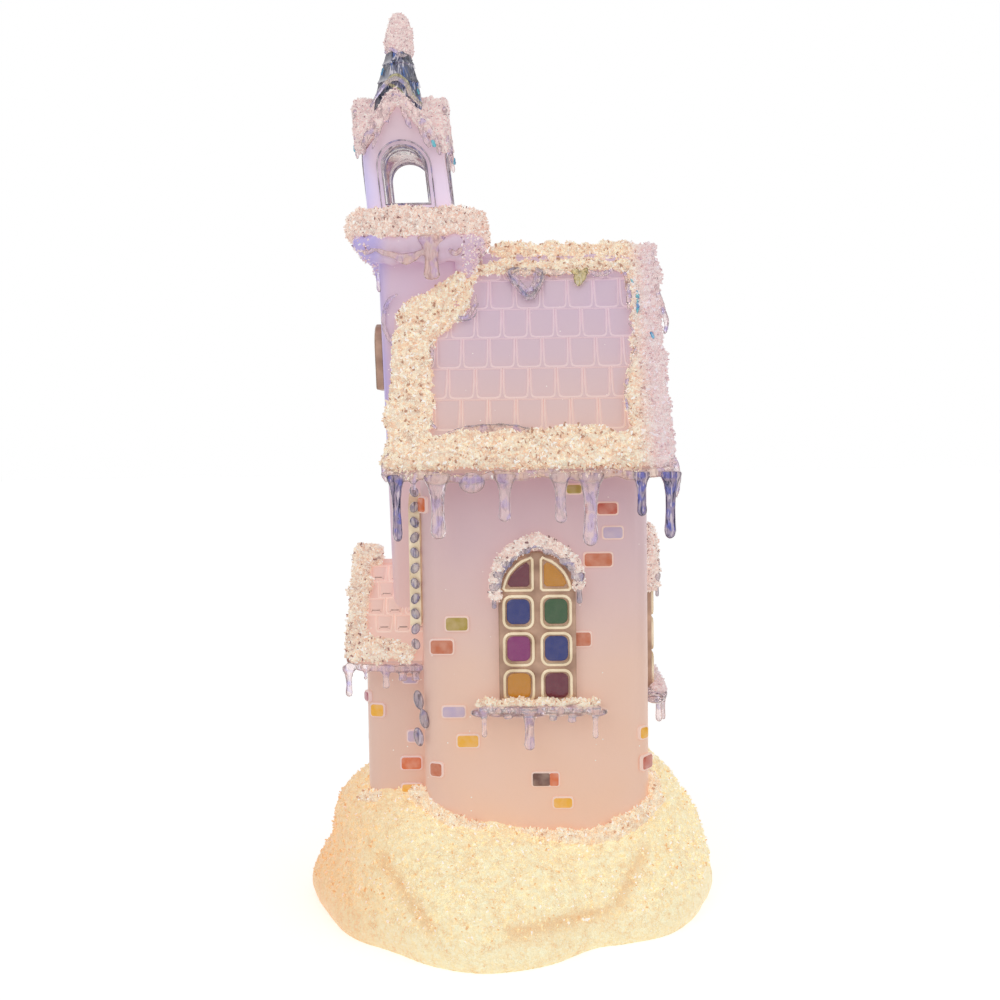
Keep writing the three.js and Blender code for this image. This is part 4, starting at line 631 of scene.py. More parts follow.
def scatter(name, bm, look, skinName, keep=None):
    # stands small crystals all over a skin
    soup = bm.copy()
    bmesh.ops.triangulate(soup, faces=soup.faces)
    corners = np.array([[v.co for v in f.verts] for f in soup.faces])
    normals = np.array([f.normal for f in soup.faces])
    soup.free()
    if keep is not None:
        kept = keep(corners.mean(axis=1), normals)
        corners, normals = corners[kept], normals[kept]
    area = np.linalg.norm(np.cross(corners[:, 1] - corners[:, 0], corners[:, 2] - corners[:, 0]), axis=1) / 2
    count = int(area.sum() * look["perArea"])
    draw = np.random.default_rng(look["seed"])
    pick = draw.choice(len(area), count, p=area / area.sum())
    share = draw.random((count, 2))
    over = share.sum(axis=1) > 1
    share[over] = 1 - share[over]
    base = corners[pick]
    spots = base[:, 0] + share[:, :1] * (base[:, 1] - base[:, 0]) + share[:, 1:] * (base[:, 2] - base[:, 0])
    axis = normals[pick] * look["stand"] + draw.normal(size=(count, 3)) * 0.7
    axis /= np.linalg.norm(axis, axis=1)[:, None]
    side = np.cross(axis, draw.normal(size=(count, 3)))
    side /= np.linalg.norm(side, axis=1)[:, None]
    third = np.cross(axis, side)
    low, high = look["length"]
    length = low + (high - low) * draw.random(count) ** 2
    width = length * (0.55 + 0.4 * draw.random(count))
    along = (crystalPoints[:, 2] + 0.32)[None, :, None] * (axis * length[:, None])[:, None, :]
    first = crystalPoints[:, 0][None, :, None] * (side * width[:, None])[:, None, :]
    second = crystalPoints[:, 1][None, :, None] * (third * width[:, None])[:, None, :]
    points = (spots[:, None, :] + along + first + second).reshape(-1, 3)
    points = (points + np.array(offset)) * 0.001
    step = len(crystalPoints)
    faces = [[i * step + k for k in face] for i in range(count) for face in crystalFaces]
    mesh = bpy.data.meshes.new(name)
    mesh.from_pydata(points.tolist(), [], faces)
    mesh.attributes.new("bit", "FLOAT", "POINT").data.foreach_set(
        "value", np.repeat(0.02 + 0.98 * draw.random(count), step),
    )
    piece = placeMesh(name, mesh, skinName, angle=20)
    print(name, count, "crystals")
    return piece


def blob(bm, x, y, z, rx, ry, rz, turn=None):
    place = Matrix.Translation((x, y, z)) @ (turn or Matrix.Identity(4)) @ Matrix.Diagonal((rx, ry, rz, 1))
    bmesh.ops.create_uvsphere(bm, u_segments=16, v_segments=10, radius=1, matrix=place)


def turned(bm, profile, place, steps=14):
    # spins a profile of radius and height about its own upright line
    known = set(bm.verts)
    verts = [bm.verts.new((r, 0, z)) for r, z in profile]
    edges = [bm.edges.new(pair) for pair in zip(verts, verts[1:])]
    spin = {"axis": (0, 0, 1), "cent": (0, 0, 0), "angle": 2 * math.pi, "steps": steps}
    bmesh.ops.spin(bm, geom=verts + edges, use_merge=True, use_duplicate=False, **spin)
    fresh = [v for v in bm.verts if v not in known]
    moved(bm, place, fresh)
    bmesh.ops.remove_doubles(bm, verts=fresh, dist=0.02)


# radius as a share of the half width, and height: millimetres above the root, a share of the drop below
icicleShape = [
    (0, 2.4), (1.5, 1.6), (1.45, 0.2), (1.02, -0.10), (0.74, -0.30), (0.68, -0.52), (0.76, -0.74),
    (0.84, -0.87),
    (0.66, -0.96), (0.3, -1.0), (0, -1.01),
]


def icicle(bm, x, y, z, half, drop, lean=0.0, flat=1.0):
    # a necked drop with a round heavy tip
    profile = [(r * half, v * drop if v < 0 else v) for r, v in icicleShape]
    tilt = Matrix.Rotation(lean, 4, "Y")
    turned(bm, profile, Matrix.Translation((x, y, z)) @ tilt @ Matrix.Diagonal((1, flat, 1, 1)))


def sweep(bm, points, radii, sides=8, closed=False, flat=1.0, front=(0, -1, 0.35)):
    # a round strand along points, thinner or thicker as the radii say
    count = len(points)
    rings = []
    for i, point in enumerate(points):
        back = points[i - 1] if i or closed else points[0]
        ahead = points[(i + 1) % count] if i + 1 < count or closed else points[-1]
        way = (ahead - back).normalized()
        side = way.cross(Vector(front)).normalized()
        up = side.cross(way).normalized()
        ring = bmesh.ops.create_circle(bm, segments=sides, radius=1)["verts"]
        for vert in ring:
            x, y = vert.co.x, vert.co.y
            vert.co = point + (side * x + up * y * flat) * radii[i]
        rings.append(ring)
    pairs = list(zip(rings, rings[1:])) + ([(rings[-1], rings[0])] if closed else [])
    for a, b in pairs:
        for k in range(sides):
            bm.faces.new((a[k], a[(k + 1) % sides], b[(k + 1) % sides], b[k]))
    if not closed:
        bm.faces.new(rings[0])
        bm.faces.new(reversed(rings[-1]))


def curveThrough(points, steps, closed=False):
    # a smooth run of points through the given ones
    count = len(points)
    out = []
    spans = count if closed else count - 1
    for i in range(spans):
        grab = lambda k: points[k % count] if closed else points[min(max(k, 0), count - 1)]
        a, b, c, d = (Vector(grab(i + k)) for k in (-1, 0, 1, 2))
        for s in range(steps):
            t = s / steps
            bend = (2 * a - 5 * b + 4 * c - d) * t * t + (3 * b - a - 3 * c + d) * t ** 3
            out.append(0.5 * (2 * b + (c - a) * t + bend))
    if not closed:
        out.append(Vector(points[-1]))
    return out


def strand(bm, points, wide, steps=6, closed=False, flat=0.8):
    # a run of melted ice: full in the middle, thinner at its ends, a little uneven
    line = curveThrough(points, steps, closed)
    last = len(line) - 1
    radii = []
    for i in range(len(line)):
        share = 1.0 if closed else min(1.0, 0.45 + 2.2 * min(i, last - i) / last)
        radii.append(wide * share * (1 + 0.13 * math.sin(i * 1.7)))
    sweep(bm, line, radii, 8, closed, flat)


def raised(bm, outline, push):
    # a block raised from a flat outline, as its front face
    face = bm.faces.new([bm.verts.new(p) for p in outline])
    grown = bmesh.ops.extrude_face_region(bm, geom=[face])["geom"]
    front = next(f for f in grown if isinstance(f, bmesh.types.BMFace))
    bmesh.ops.translate(bm, verts=front.verts, vec=push)
    return front


def stepped(bm, front, thickness, push):
    # a narrower face inside the front one, pushed in or out
    bmesh.ops.inset_region(bm, faces=[front], thickness=thickness, depth=0)
    bmesh.ops.translate(bm, verts=front.verts, vec=push)


def stained(bm, faces, colour):
    layer = bm.loops.layers.float_color["tint"]
    for face in faces:
        for loop in face.loops:
            loop[layer] = paint(*colour)


# the snow base
base = {
    "reach": 70.5,
    "outline": [
        (1, 0), (0.936, -0.279), (0.84, -0.482), (0.715, -0.621), (0.53, -0.704), (0.387, -0.752),
        (0.174, -0.922),
        (-0.077, -0.993), (-0.302, -0.933), (-0.516, -0.774), (-0.722, -0.614), (-0.86, -0.369),
        (-0.98, -0.043),
        (-0.935, 0.312), (-0.78, 0.638), (-0.468, 0.865), (-0.085, 0.993), (0.284, 0.936), (0.61, 0.752),
        (0.865, 0.454),
    ],
    "profile": [
        (0.4, 1), (0.65, 0.97), (0.73, 0.91), (0.8, 0.82), (0.86, 0.7), (0.91, 0.56), (0.95, 0.42),
        (0.978, 0.3),
        (0.994, 0.2), (1, 0.09), (0.98, 0),
    ],
    "hollow": [(0.935, 0), (0.935, 7), (0.88, 14), (0.78, 24.2)],
    "segments": 420,
    "stepsEach": 7,
    "sideHeight": (33, 0.08), "endHeight": (49, 0.035), "ledge": 0.04,
    "swell": 1.4, "swellSize": 8.6,
    "creases": [((-39.5, 24.6), (-23, 11)), ((2, 10.6), (31, 10.6)), ((35, 12.8), (44, 24.6))],
    "creaseDepth": 1.8, "creaseHalf": 4.2,
    "lumps": ((9.0, 0.7), (3.2, 0.7), (1.5, 0.55)),
    "crystals": {"perArea": 0.5, "stand": 0.9, "length": (0.4, 1.1), "seed": 11},
}


def swell(p):
    # broad soft lumps from a few waves bent by each other
    u, v, w = (c / base["swellSize"] + phase for c, phase in zip(p, (1.5, 4, 1)))
    across = math.sin(u + 1.2 * math.sin(0.6 * v + 0.5 * w))
    deep = math.sin(0.9 * v + 1.1 * math.sin(0.7 * w - 0.4 * u))
    return base["swell"] * (across * deep + 0.5 * math.sin(1.2 * w + 0.9 * math.sin(0.8 * u)))


def crease(p):
    # how deep the nearest fold of the near side is at a point
    depth = 0.0
    for a, b in base["creases"] if p.y <= 0 else ():
        a, b, here = Vector(a), Vector(b), Vector((p.x, p.z))
        t = min(1.0, max(0.0, (here - a).dot(b - a) / (b - a).length_squared))
        depth = max(depth, math.exp(-(((here - a - (b - a) * t).length / base["creaseHalf"]) ** 2)))
    return base["creaseDepth"] * depth


def moundSpot(x, y, share, rise):
    # a place on the mound: the outline's point, drawn in and up by the profile, then swelled
    reach = math.hypot(x, y)
    end = (abs(x) / reach) ** 4
    low, fall = base["sideHeight"]
    high, climb = base["endHeight"]
    top = (low - fall * x) * (1 - end) + (high + climb * x) * end
    inwards = share - base["ledge"] * max(0.0, -x / reach) ** 2 * math.exp(-(((rise - 0.42) / 0.14) ** 2))
    place = Vector((x * inwards, y * inwards, rise * top))
    calm = min(1.0, max(0.0, (place.z - 3) / 12))
    level = 1 - rise * 0.8
    out = Vector((x / reach * level, y / reach * level, rise)).normalized()
    shift = lambda size: place / size + Vector((3.1, size, 5.7))
    grains = sum(height * noise.noise(shift(size)) for size, height in base["lumps"])
    return place + out * (swell(place) * calm - crease(place) + grains * (0.15 + 0.85 * calm) - 0.4 * calm)


def nextRing(bm, ring):
    # grows a ring of edges into a band, and gives its new ring in the same order
    edges = [bm.edges.get(pair) for pair in zip(ring, ring[1:] + ring[:1])]
    made = bmesh.ops.extrude_edge_only(bm, edges=edges)["geom"]
    fresh = {e for e in made if isinstance(e, bmesh.types.BMVert)}
    return [next(e.other_vert(v) for e in v.link_edges if e.other_vert(v) in fresh) for v in ring]


def makeBase():
    rim = curveThrough(
        [(x * base["reach"], y * base["reach"], 0) for x, y in base["outline"]], 24, closed=True,
    )
    angles = np.array([math.atan2(p.y, p.x) for p in rim])
    order = np.argsort(angles)
    around = np.linspace(-math.pi, math.pi, base["segments"], endpoint=False)
    reach = np.interp(around, angles[order], np.array([p.length for p in rim])[order], period=2 * math.pi)
    outline = [(r * math.cos(a), r * math.sin(a)) for a, r in zip(around, reach)]
    outer = curveThrough([(share, rise, 0) for share, rise in base["profile"]], base["stepsEach"])
    bm = bmesh.new()
    # the hollow layer carries painted shade into the creases
    hollow = bm.verts.layers.float.new("hollow")
    ring = list(bmesh.ops.create_circle(bm, segments=base["segments"], radius=1)["verts"])
    first = ring
    for k, point in enumerate(outer):
        ring = nextRing(bm, ring) if k else ring
        for vert, (x, y) in zip(ring, outline):
            vert.co = moundSpot(x, y, point.x, point.y)
            vert.co.z = max(vert.co.z, 0.0)
            vert[hollow] = (crease(vert.co) / base["creaseDepth"]) ** 3
    for share, z in base["hollow"]:
        ring = nextRing(bm, ring)
        for vert, (x, y) in zip(ring, outline):
            vert.co = (x * share, y * share, z)
    bm.faces.new(first)
    bm.faces.new(reversed(ring))
    bmesh.ops.recalc_face_normals(bm, faces=bm.faces)
    bm.normal_update()
    return bm


baseSkin = makeBase()
# crystals stand above the brim and outside the walls
outside = lambda c: (np.abs(c[:, 0] - 9.8) > 35) | (np.abs(c[:, 1]) > 32)
scatter("baseCrystals", baseSkin, base["crystals"], "snowBase",
        lambda c, n: (c[:, 2] > 9) & (n[:, 2] > -0.3) & outside(c))
addPiece("baseSnow", baseSkin, "snowBase", ["base_shell"], angle=80)

footSnow = {
    "nave": [
        (-24, -30.5, 40.5), (-19, -34, 37.2), (-14, -34.6, 35.2), (-7, -34.8, 33.4), (0, -34.9, 31.9),
        (8, -34.9, 31.4),
        (16, -34.9, 31.2), (24, -34.8, 31.2), (32, -34.6, 32.4), (38, -34.4, 35.4), (43, -33, 38.2),
        (47.5, -28, 41.5),
    ],
    "corner": [(-28.5, -26, 43), (-27, -29, 42.3), (-30, -23.5, 42.6)],
    "porch": [(-46.5, -19, 40.5), (-41, -22.3, 39.4), (-35, -22.6, 39), (-30, -22.8, 39.6)],
    "size": (3.3, 2.4, 2.6),
    "back": {"x": 48, "z": 42.5, "y": (-27, 28, 4.5), "size": (2.4, 3.4, 2.8)},
    "crystals": {"perArea": 1.9, "stand": 1.0, "length": (0.4, 1.3), "seed": 12},
}


def makeFootSnow():
    bm = bmesh.new()
    rx, ry, rz = footSnow["size"]
    for name, step in (("nave", 5), ("corner", 3), ("porch", 4)):
        for i, p in enumerate(curveThrough(footSnow[name], step)):
            grow = 1 + 0.16 * math.sin(i * 2.3)
            for mirror in (1, -1):
                blob(bm, p.x, p.y * mirror, p.z - 1.9 * rz / 2, rx, ry * grow, rz * grow)
    back = footSnow["back"]
    for y in np.arange(*back["y"]):
        blob(bm, back["x"], y, back["z"] + 0.8 * math.sin(y), *back["size"])
    bm = fused(bm, 0.7, 2)
    roughen(bm, ((4, 0.9), (1.6, 0.8)))
    scatter("footCrystals", bm, footSnow["crystals"], "snowFoot", lambda c, n: n[:, 2] > -0.2)
    addPiece("footSnow", bm, "snowFoot", angle=80)


makeFootSnow()
print("base made")


# walls, tower and porch
walls = {
    "nave": {"x": (-26.8, 46.5), "halfY": 33, "corner": 7, "foot": 20, "apex": 215.8, "slope": 58.57},
    "porch": {"x": (-46.6, -20), "halfY": 21, "corner": 5, "foot": 30, "apex": 112.9, "slope": 50.0},
    "tower": {"foot": (-22.5, 27.3), "half": 13.25, "corner": 2.5, "top": 216.7, "lean": 0.027},
}


def leaning(share):
    # shifts a point along X by a share of its height
    return Matrix(((1, 0, -share, 0), (0, 1, 0, 0), (0, 0, 1, 0), (0, 0, 0, 1)))


def roundedBlock(halfX, halfY, corner, low, high, segments=10):
    bm = bmesh.new()
    bmesh.ops.create_cube(bm, size=1)
    size = Matrix.Diagonal((2 * halfX, 2 * halfY, high - low, 1))
    moved(bm, Matrix.Translation((0, 0, (low + high) / 2)) @ size)
    upright = [e for e in bm.edges if abs(e.verts[0].co.z - e.verts[1].co.z) > 1]
    bend = {"offset": corner, "offset_type": "OFFSET", "segments": segments, "profile": 0.5}
    bmesh.ops.bevel(bm, geom=upright, affect="EDGES", material=-1, **bend)
    return bm


def cutGable(bm, apex, slopeDegrees):
    slope = math.radians(slopeDegrees)
    for side in (-1, 1):
        out = Vector((0, side * math.sin(slope), math.cos(slope)))
        whole = list(bm.verts) + list(bm.edges) + list(bm.faces)
        cut = bmesh.ops.bisect_plane(bm, geom=whole, plane_co=(0, 0, apex), plane_no=out, clear_outer=True)
        rim = [e for e in cut["geom_cut"] if isinstance(e, bmesh.types.BMEdge)]
        bmesh.ops.holes_fill(bm, edges=rim, sides=0)


def makeWalls():
    for name, skin, node in (("nave", "wallFrost", "nave_walls"), ("porch", "porchFrost", "porch_walls")):
        size = walls[name]
        low, high = size["x"]
        bm = roundedBlock((high - low) / 2, size["halfY"], size["corner"], size["foot"], size["apex"] + 20)
        cutGable(bm, size["apex"], size["slope"])
        bmesh.ops.translate(bm, verts=bm.verts, vec=((low + high) / 2, 0, 0))
        addPiece(name + "Walls", bm, skin, [node])
    size = walls["tower"]
    height = size["top"] - size["foot"][1]
    bm = roundedBlock(size["half"], size["half"], size["corner"], 0, height, 6)
    moved(bm, leaning(size["lean"]))
    bmesh.ops.translate(bm, verts=bm.verts, vec=(size["foot"][0], 0, size["foot"][1]))
    addPiece("towerWalls", bm, "towerFrost", ["tower_walls"])


makeWalls()
print("walls made")

# painted bricks: along the wall, height, width, tallness, colour
brickColours = {
    "copper": (200, 104, 62), "orange": (222, 108, 50), "red": (196, 84, 58), "yellow": (246, 180, 40),
    "olive": (176, 150, 56), "brown": (104, 58, 42), "clear": (198, 176, 202), "pink": (186, 96, 120),
}
bricks = {
    "nave": [
        (-15.2, 98.8, 7.2, 4.4, "olive"), (-20.1, 91.4, 7.4, 4.6, "copper"), (-25.5, 137, 4.4, 4.8, "orange"),
        (-16.6, 70.3, 7.4, 3.6, "clear"), (-12.2, 60.7, 7.0, 4.0, "yellow"),
        (-22.4, 51.3, 4.2, 4.4, "copper"),
        (12.7, 48, 8.6, 4.4, "brown"), (18.2, 40.3, 6.2, 3.4, "yellow"), (33.3, 135.3, 6.6, 3.8, "red"),
        (35, 127.6, 6.4, 3.8, "clear"), (30.3, 119, 9.0, 4.4, "copper"), (24.6, 93.5, 6.4, 4.6, "copper"),
        (44.2, 62.5, 3.6, 3.8, "yellow"), (22.8, 141.6, 5, 3.0, "olive"), (45.2, 52.6, 6.0, 4.4, "red"),
    ],
    "porch": [
        (-31.8, 50.3, 6.8, 4.2, "orange"), (-42.7, 68.2, 4.6, 4.2, "yellow"), (-46, 72.4, 3.6, 3.2, "pink"),
        (-30.7, 59.4, 4.4, 3.8, "clear"), (-31.7, 78.3, 5, 2.2, "clear"), (-31.8, 41.6, 6.6, 3.4, "yellow"),
    ],
}
brick = {"rim": (0.6, 0.95, 1.0), "paint": (-0.3, 1.3, 0.8), "sunk": 0.3, "split": 0.66, "splitCorner": 0.5}


def roundedPoints(halfX, halfZ, corner, steps):
    # the outline of a rounded rectangle, from its lower right corner round
    points = []
    for sx, sz, start in ((1, -1, -90), (1, 1, 0), (-1, 1, 90), (-1, -1, 180)):
        for k in range(steps + 1):
            angle = math.radians(start + 90 / steps * k)
            x = sx * (halfX - corner) + corner * math.cos(angle)
            points.append((x, sz * (halfZ - corner) + corner * math.sin(angle)))
    return points


def wallSpot(place, along):
    # the point of a rounded wall at a place along its near face, and its outward direction
    low, high = walls[place]["x"]
    corner, halfY = walls[place]["corner"], walls[place]["halfY"]
    for end, way in ((low, -1), (high, 1)):
        past = (along - (end - way * corner)) * way
        if past > 0 and (place == "nave" or way < 0):
            angle = math.asin(min(past / corner, 0.98))
            middle = Vector((end - way * corner, -halfY + corner, 0))
            out = Vector((way * math.sin(angle), -math.cos(angle), 0))
            return middle + out * corner, out
    return Vector((along, -halfY, 0)), Vector((0, -1, 0))


def brickPad(bm, width, tall, proud, corner, place, colour=None):
    known = set(bm.faces)
    outline = [(x, 0, z) for x, z in roundedPoints(width / 2, tall / 2, corner, 3)]
    front = raised(bm, outline, (0, -proud, 0))
    stepped(bm, front, min(0.35, corner * 0.6), (0, -0.16, 0))
    fresh = [f for f in bm.faces if f not in known]
    moved(bm, place, list({v for f in fresh for v in f.verts}))
    if colour:
        stained(bm, fresh, brickColours[colour])


def makeBricks():
    rims, paints = bmesh.new(), bmesh.new()
    paints.loops.layers.float_color.new("tint")
    more, proud, corner = brick["rim"]
    less, front, bend = brick["paint"]
    share = brick["split"]
    for place, rows in bricks.items():
        for along, z, width, tall, colour in rows:
            spot, out = wallSpot(place, along)
            near = Matrix.Translation(spot + Vector((0, 0, z)) - out * brick["sunk"])
            near = near @ Matrix.Rotation(math.atan2(out.x, -out.y), 4, "Z")
            wide, high = width + less, tall + less
            for stand in (near, farSide @ near) if place == "porch" else (near,):
                brickPad(rims, width + more, tall + more, proud, corner, stand)
                if colour != "brown":
                    brickPad(paints, wide, high, front, bend, stand, colour)
                    continue
                left = stand @ Matrix.Translation((-wide * (1 - share) / 2, 0, 0))
                right = stand @ Matrix.Translation((wide * share / 2, 0, 0))
                brickPad(paints, wide * share, high, front, brick["splitCorner"], left, "brown")
                brickPad(
                    paints, wide * (1 - share), high, front + 0.05, brick["splitCorner"], right, "orange",
                )
    # the brick rims use the lit lip copy of the acrylic, a painted highlight
    addPiece("brickRims", rims, "shingleLip")
    addPiece("brickPaints", paints, "brickPaint")


makeBricks()
print("bricks made")

# roofs and shingles
roofs = {
    "nave": {"ridge": 220.5, "slope": 58.57, "length": 84.37, "x": (
        -35.5, 52,
    ), "thick": 2.2, "node": "nave_roof",
             "pitch": 8.72, "rows": 6, "first": 12.9, "down": 11.8, "phase": 4.7, "columns": (
                 -4, 5,
             ), "skins": ["shingleLip", "shingleTray"]},
    "porch": {"ridge": 116.5, "slope": 50.0, "length": 40.46, "x": (
        -51.5, -27.1,
    ), "thick": 2.0, "node": "porch_roof",
              "pitch": 6.4, "rows": 4, "first": 11, "down": 6.6, "phase": -43.6, "columns": (0, 3), "skins": [
                  "porchLipLit", "porchTray",
              ]},
}


def shingleTile(width, long):
    # a pillow inside a lip that is thin at the sides and broad along the lower edge; the lip takes the lit
    # copy of the acrylic, a painted highlight
    bm = bmesh.new()
    half, cut = width / 2 - 0.04, width * 0.22
    outline = [(half, 1.5, 0), (-half, 1.5, 0), (-half, -long + cut, 0)]
    outline += [(-half + 0.3 * cut, -long + 0.3 * cut, 0), (-half + cut, -long, 0)]
    outline += [(-x, y, 0) for x, y, _ in outline[:1:-1]]
    front = raised(bm, outline, (0, 0, 0.9))
    stepped(bm, front, 0.3, (0, 0, 0.35))
    stepped(bm, front, 0.35, (0, 0, 0.25))
    low = [v for v in front.verts if v.co.y < -long / 2]
    bmesh.ops.translate(bm, verts=low, vec=(0, width * 0.2, 0))
    stepped(bm, front, 0.25, (0, 0, -0.3))
    front.material_index = 1
    for thickness, rise in ((0.5, 0.2), (0.8, 0.1)):
        stepped(bm, front, thickness, (0, 0, rise))
    inner = {f for v in front.verts for f in v.link_faces}
    for f in inner | {g for f in inner for v in f.verts for g in v.link_faces if g.normal.z > 0.9}:
        if f.calc_center_median().z > 1.0:
            f.material_index = 1
    moved(bm, Matrix.Rotation(math.atan2(1.0, long), 4, "X"))
    mesh = bpy.data.meshes.new("tile")
    bm.to_mesh(mesh)
    bm.free()
    return mesh


def layRoof(name, size):
    bm = bmesh.new()
    tile = shingleTile(size["pitch"], size["down"])
    slope = math.radians(size["slope"])
    low, high = size["x"]
    slab = Matrix.Translation(((low + high) / 2, -size["length"] / 2, -size["thick"] / 2))
    slab = slab @ Matrix.Diagonal((high - low, size["length"], size["thick"], 1))
    for side in (Matrix.Identity(4), farSide):
        place = Matrix.Translation((0, 0, size["ridge"])) @ side @ Matrix.Rotation(slope, 4, "X")
        for vert in bmesh.ops.create_cube(bm, size=1, matrix=place @ slab)["verts"]:
            for f in vert.link_faces:
                f.material_index = 1
        for row in range(size["rows"]):
            down = size["first"] + row * size["down"]
            shift = size["pitch"] / 2 if row % 2 else 0
            for step in range(*size["columns"]):
                x = size["phase"] + shift + step * size["pitch"]
                if name == "nave" and x < -12 and down < 34:
                    continue  # the tower stands here
                known = len(bm.verts)
                bm.from_mesh(tile)
                bm.verts.ensure_lookup_table()
                lift = Matrix.Translation((x, size["down"] - down, -0.6))
                moved(bm, place @ lift, bm.verts[known:])
    bpy.data.meshes.remove(tile)
    addPiece(name + "Roof", bm, size["skins"], [size["node"]], angle=30)


for roofName, roofSize in roofs.items():
    layRoof(roofName, roofSize)
print("roofs made")

# snow that lies on the roofs, the ridge, the cornice, the belfry and the porch
slopeSnow = {
    "voxel": 0.8, "lumps": ((7, 1.3), (2.6, 1.1), (1.3, 0.7)), "perArea": 1.7, "length": (0.45, 1.35),
}
snowPieces = {
    "roofSnowNear": {**slopeSnow, "node": "roof_snow_near", "seed": 21},
    "roofSnowFar": {**slopeSnow, "node": "roof_snow_far", "seed": 22},
    "ridgeSnow": {
        "node": "ridge_snow", "voxel": 0.6, "lumps": ((5, 0.8), (2, 0.9)), "perArea": 2.0,
        "length": (0.45, 1.3), "seed": 23,
    },
    "corniceSnow": {
        "node": "cornice_snow", "voxel": 0.8, "lumps": ((6, 1.3), (2.2, 1.0)), "perArea": 1.9,
        "length": (0.4, 1.2),
        "seed": 24, "skin": "snowCornice",
    },
    "belfrySnow": {
        "node": "belfry_roof", "voxel": 0.6, "lumps": ((4, 1.1), (1.4, 0.5)), "perArea": 1.6,
        "length": (0.3, 0.8),
        "seed": 25, "skin": "snowPink", "stand": 0.5,
    },
    "porchSnow": {
        "node": "porch_snow", "voxel": 0.7, "lumps": ((5, 1.0), (2, 0.9)), "perArea": 1.9,
        "length": (0.4, 1.3),
        "seed": 27, "skin": "snowPorch",
    },
}
for snowName, given in snowPieces.items():
    look = {"stand": 0.7, "skin": "snowCream", **given}
    bm = fused(fromNode(look["node"]), look["voxel"])
    roughen(bm, look["lumps"])
    scatter(snowName + "Crystals", bm, look, look["skin"])
    addPiece(snowName, bm, look["skin"], [look["node"]], angle=80)
print("snow made")

# melted ice on the slopes, as places along the ridge and down from it
def onRoof(x, down, lift):
    # a point over the near slope, by its way down from the ridge
    slope = math.radians(roofs["nave"]["slope"])
    z = roofs["nave"]["ridge"] - down * math.sin(slope) + lift * math.cos(slope)
    return Vector((x, -down * math.cos(slope) - lift * math.sin(slope), z))


roofIce = {
    "iceClear": [
        ([(-23, 33), (-22.3, 43), (-23.6, 50), (-25.6, 58)], 0.8, 2.6),
        ([(-25, 60), (-24, 66), (-20, 71)], 0.9, 2.4),
        ([(41.7, 31), (44, 37), (43, 44), (40.4, 53), (39.6, 60), (39.9, 67)], 0.8, 2.6),
        ([(51.3, 1), (51.8, 18), (54, 31), (53, 37)], 1.0, 3.6),
        ([(-17.2, 26), (-12, 28), (-9, 24), (-8.4, 18)], 0.8, 2.2),
        ([(14, 8), (18, 10), (22, 9)], 1.3, 2.4), ([(29, 9), (33, 11), (38, 9)], 1.0, 2.4),
        ([(41.5, 10), (42.6, 18), (42, 26)], 1.0, 2.6),
    ],
    "iceWarm": [
        (
            [
                (-19, 74.5), (-14, 72.5), (-6, 70.8), (2.8, 71), (9, 72.6), (15.3, 74), (21, 73),
                (27.8, 71.6), (33.5, 74.5), (38, 75),
            ],
            2.3, 1.0,
        ),
    ],
    "iceSmoke": [
        (
            [
                (-18, 72.2), (-12, 69.9), (-6, 69.3), (2.8, 69.4), (9, 71), (15.3, 72.9), (22, 71.4),
                (27.8, 70.2), (33.3, 73.6),
            ],
            0.5, 1.7,
        ),
        ([(-16.9, 27.6), (-12.5, 29.2), (-8.6, 27), (-7.4, 20)], 0.4, 2.2),
    ],
    "iceGold": [([(22.3, 7), (25.5, 10), (25.9, 14), (28, 10), (29, 7)], 1.5, 2.2)],
    "iceTurquoise": [
        ([(43.2, 13), (45.1, 19), (45.3, 24), (44.7, 28)], 0.8, 3.0), ([(48.5, 36), (49.6, 39)], 0.7, 4.2),
    ],
}
heart = [(2.6, 9.8), (5, 7.9), (8.2, 8.4), (11.4, 8), (13.9, 10), (12.8, 15), (9.8, 20), (6.4, 16.4)]


def makeRoofIce():
    for skinName, runs in roofIce.items():
        bm = bmesh.new()
        for run, wide, lift in runs:
            strand(bm, [onRoof(x, down, lift) for x, down in run], wide, flat=0.6)
        if skinName == "iceSmoke":
            strand(bm, [onRoof(x, down, 2.6) for x, down in heart], 0.55, closed=True)
        if skinName == "iceClear":
            small = [(x * 0.62 + 3.1, down * 0.62 + 4.8) for x, down in heart]
            strand(bm, [onRoof(x, down, 2.4) for x, down in small], 0.8, closed=True)
            strand(bm, [onRoof(x, down, 2.1) for x, down in heart], 1.1, closed=True)
        addBoth(skinName.replace("ice", "roofIce"), fused(bm, 0.34), skinName)


makeRoofIce()

# ice under the eaves, the cornice and the windows
eaveIce = {
    "y": -45.8, "top": 146.0,
    "line": [
        (-36, 148.2), (-33, 146.6), (-28, 146.2), (-23, 147), (-17, 145.8), (-9, 145), (-2, 146.6), (5, 146),
        (12, 147), (20, 146), (27, 145.6), (34, 146.8), (40, 145.8), (47, 146.6), (52.5, 147.6),
    ],
    "drops": {
        "iceClear": [
            (-19.9, 3.0, 18.4), (1.1, 2.5, 13.2), (18.1, 2.4, 13.8), (27.5, 3.0, 21), (-27.2, 1.1, 3.2),
        ],
        "iceNavy": [(-32.6, 2.0, 19), (43, 2.0, 12), (52.1, 2.3, 19)],
    },
    "crystals": {"perArea": 0.35, "stand": 0.8, "length": (0.4, 1.1), "seed": 51},
    "ends": [
        [(49.9, 151.4), (52.8, 151.2), (54.3, 145.9), (53.6, 139)],
        [(-34.8, 154.2), (-36.2, 149), (-35.4, 145)],
    ],
}


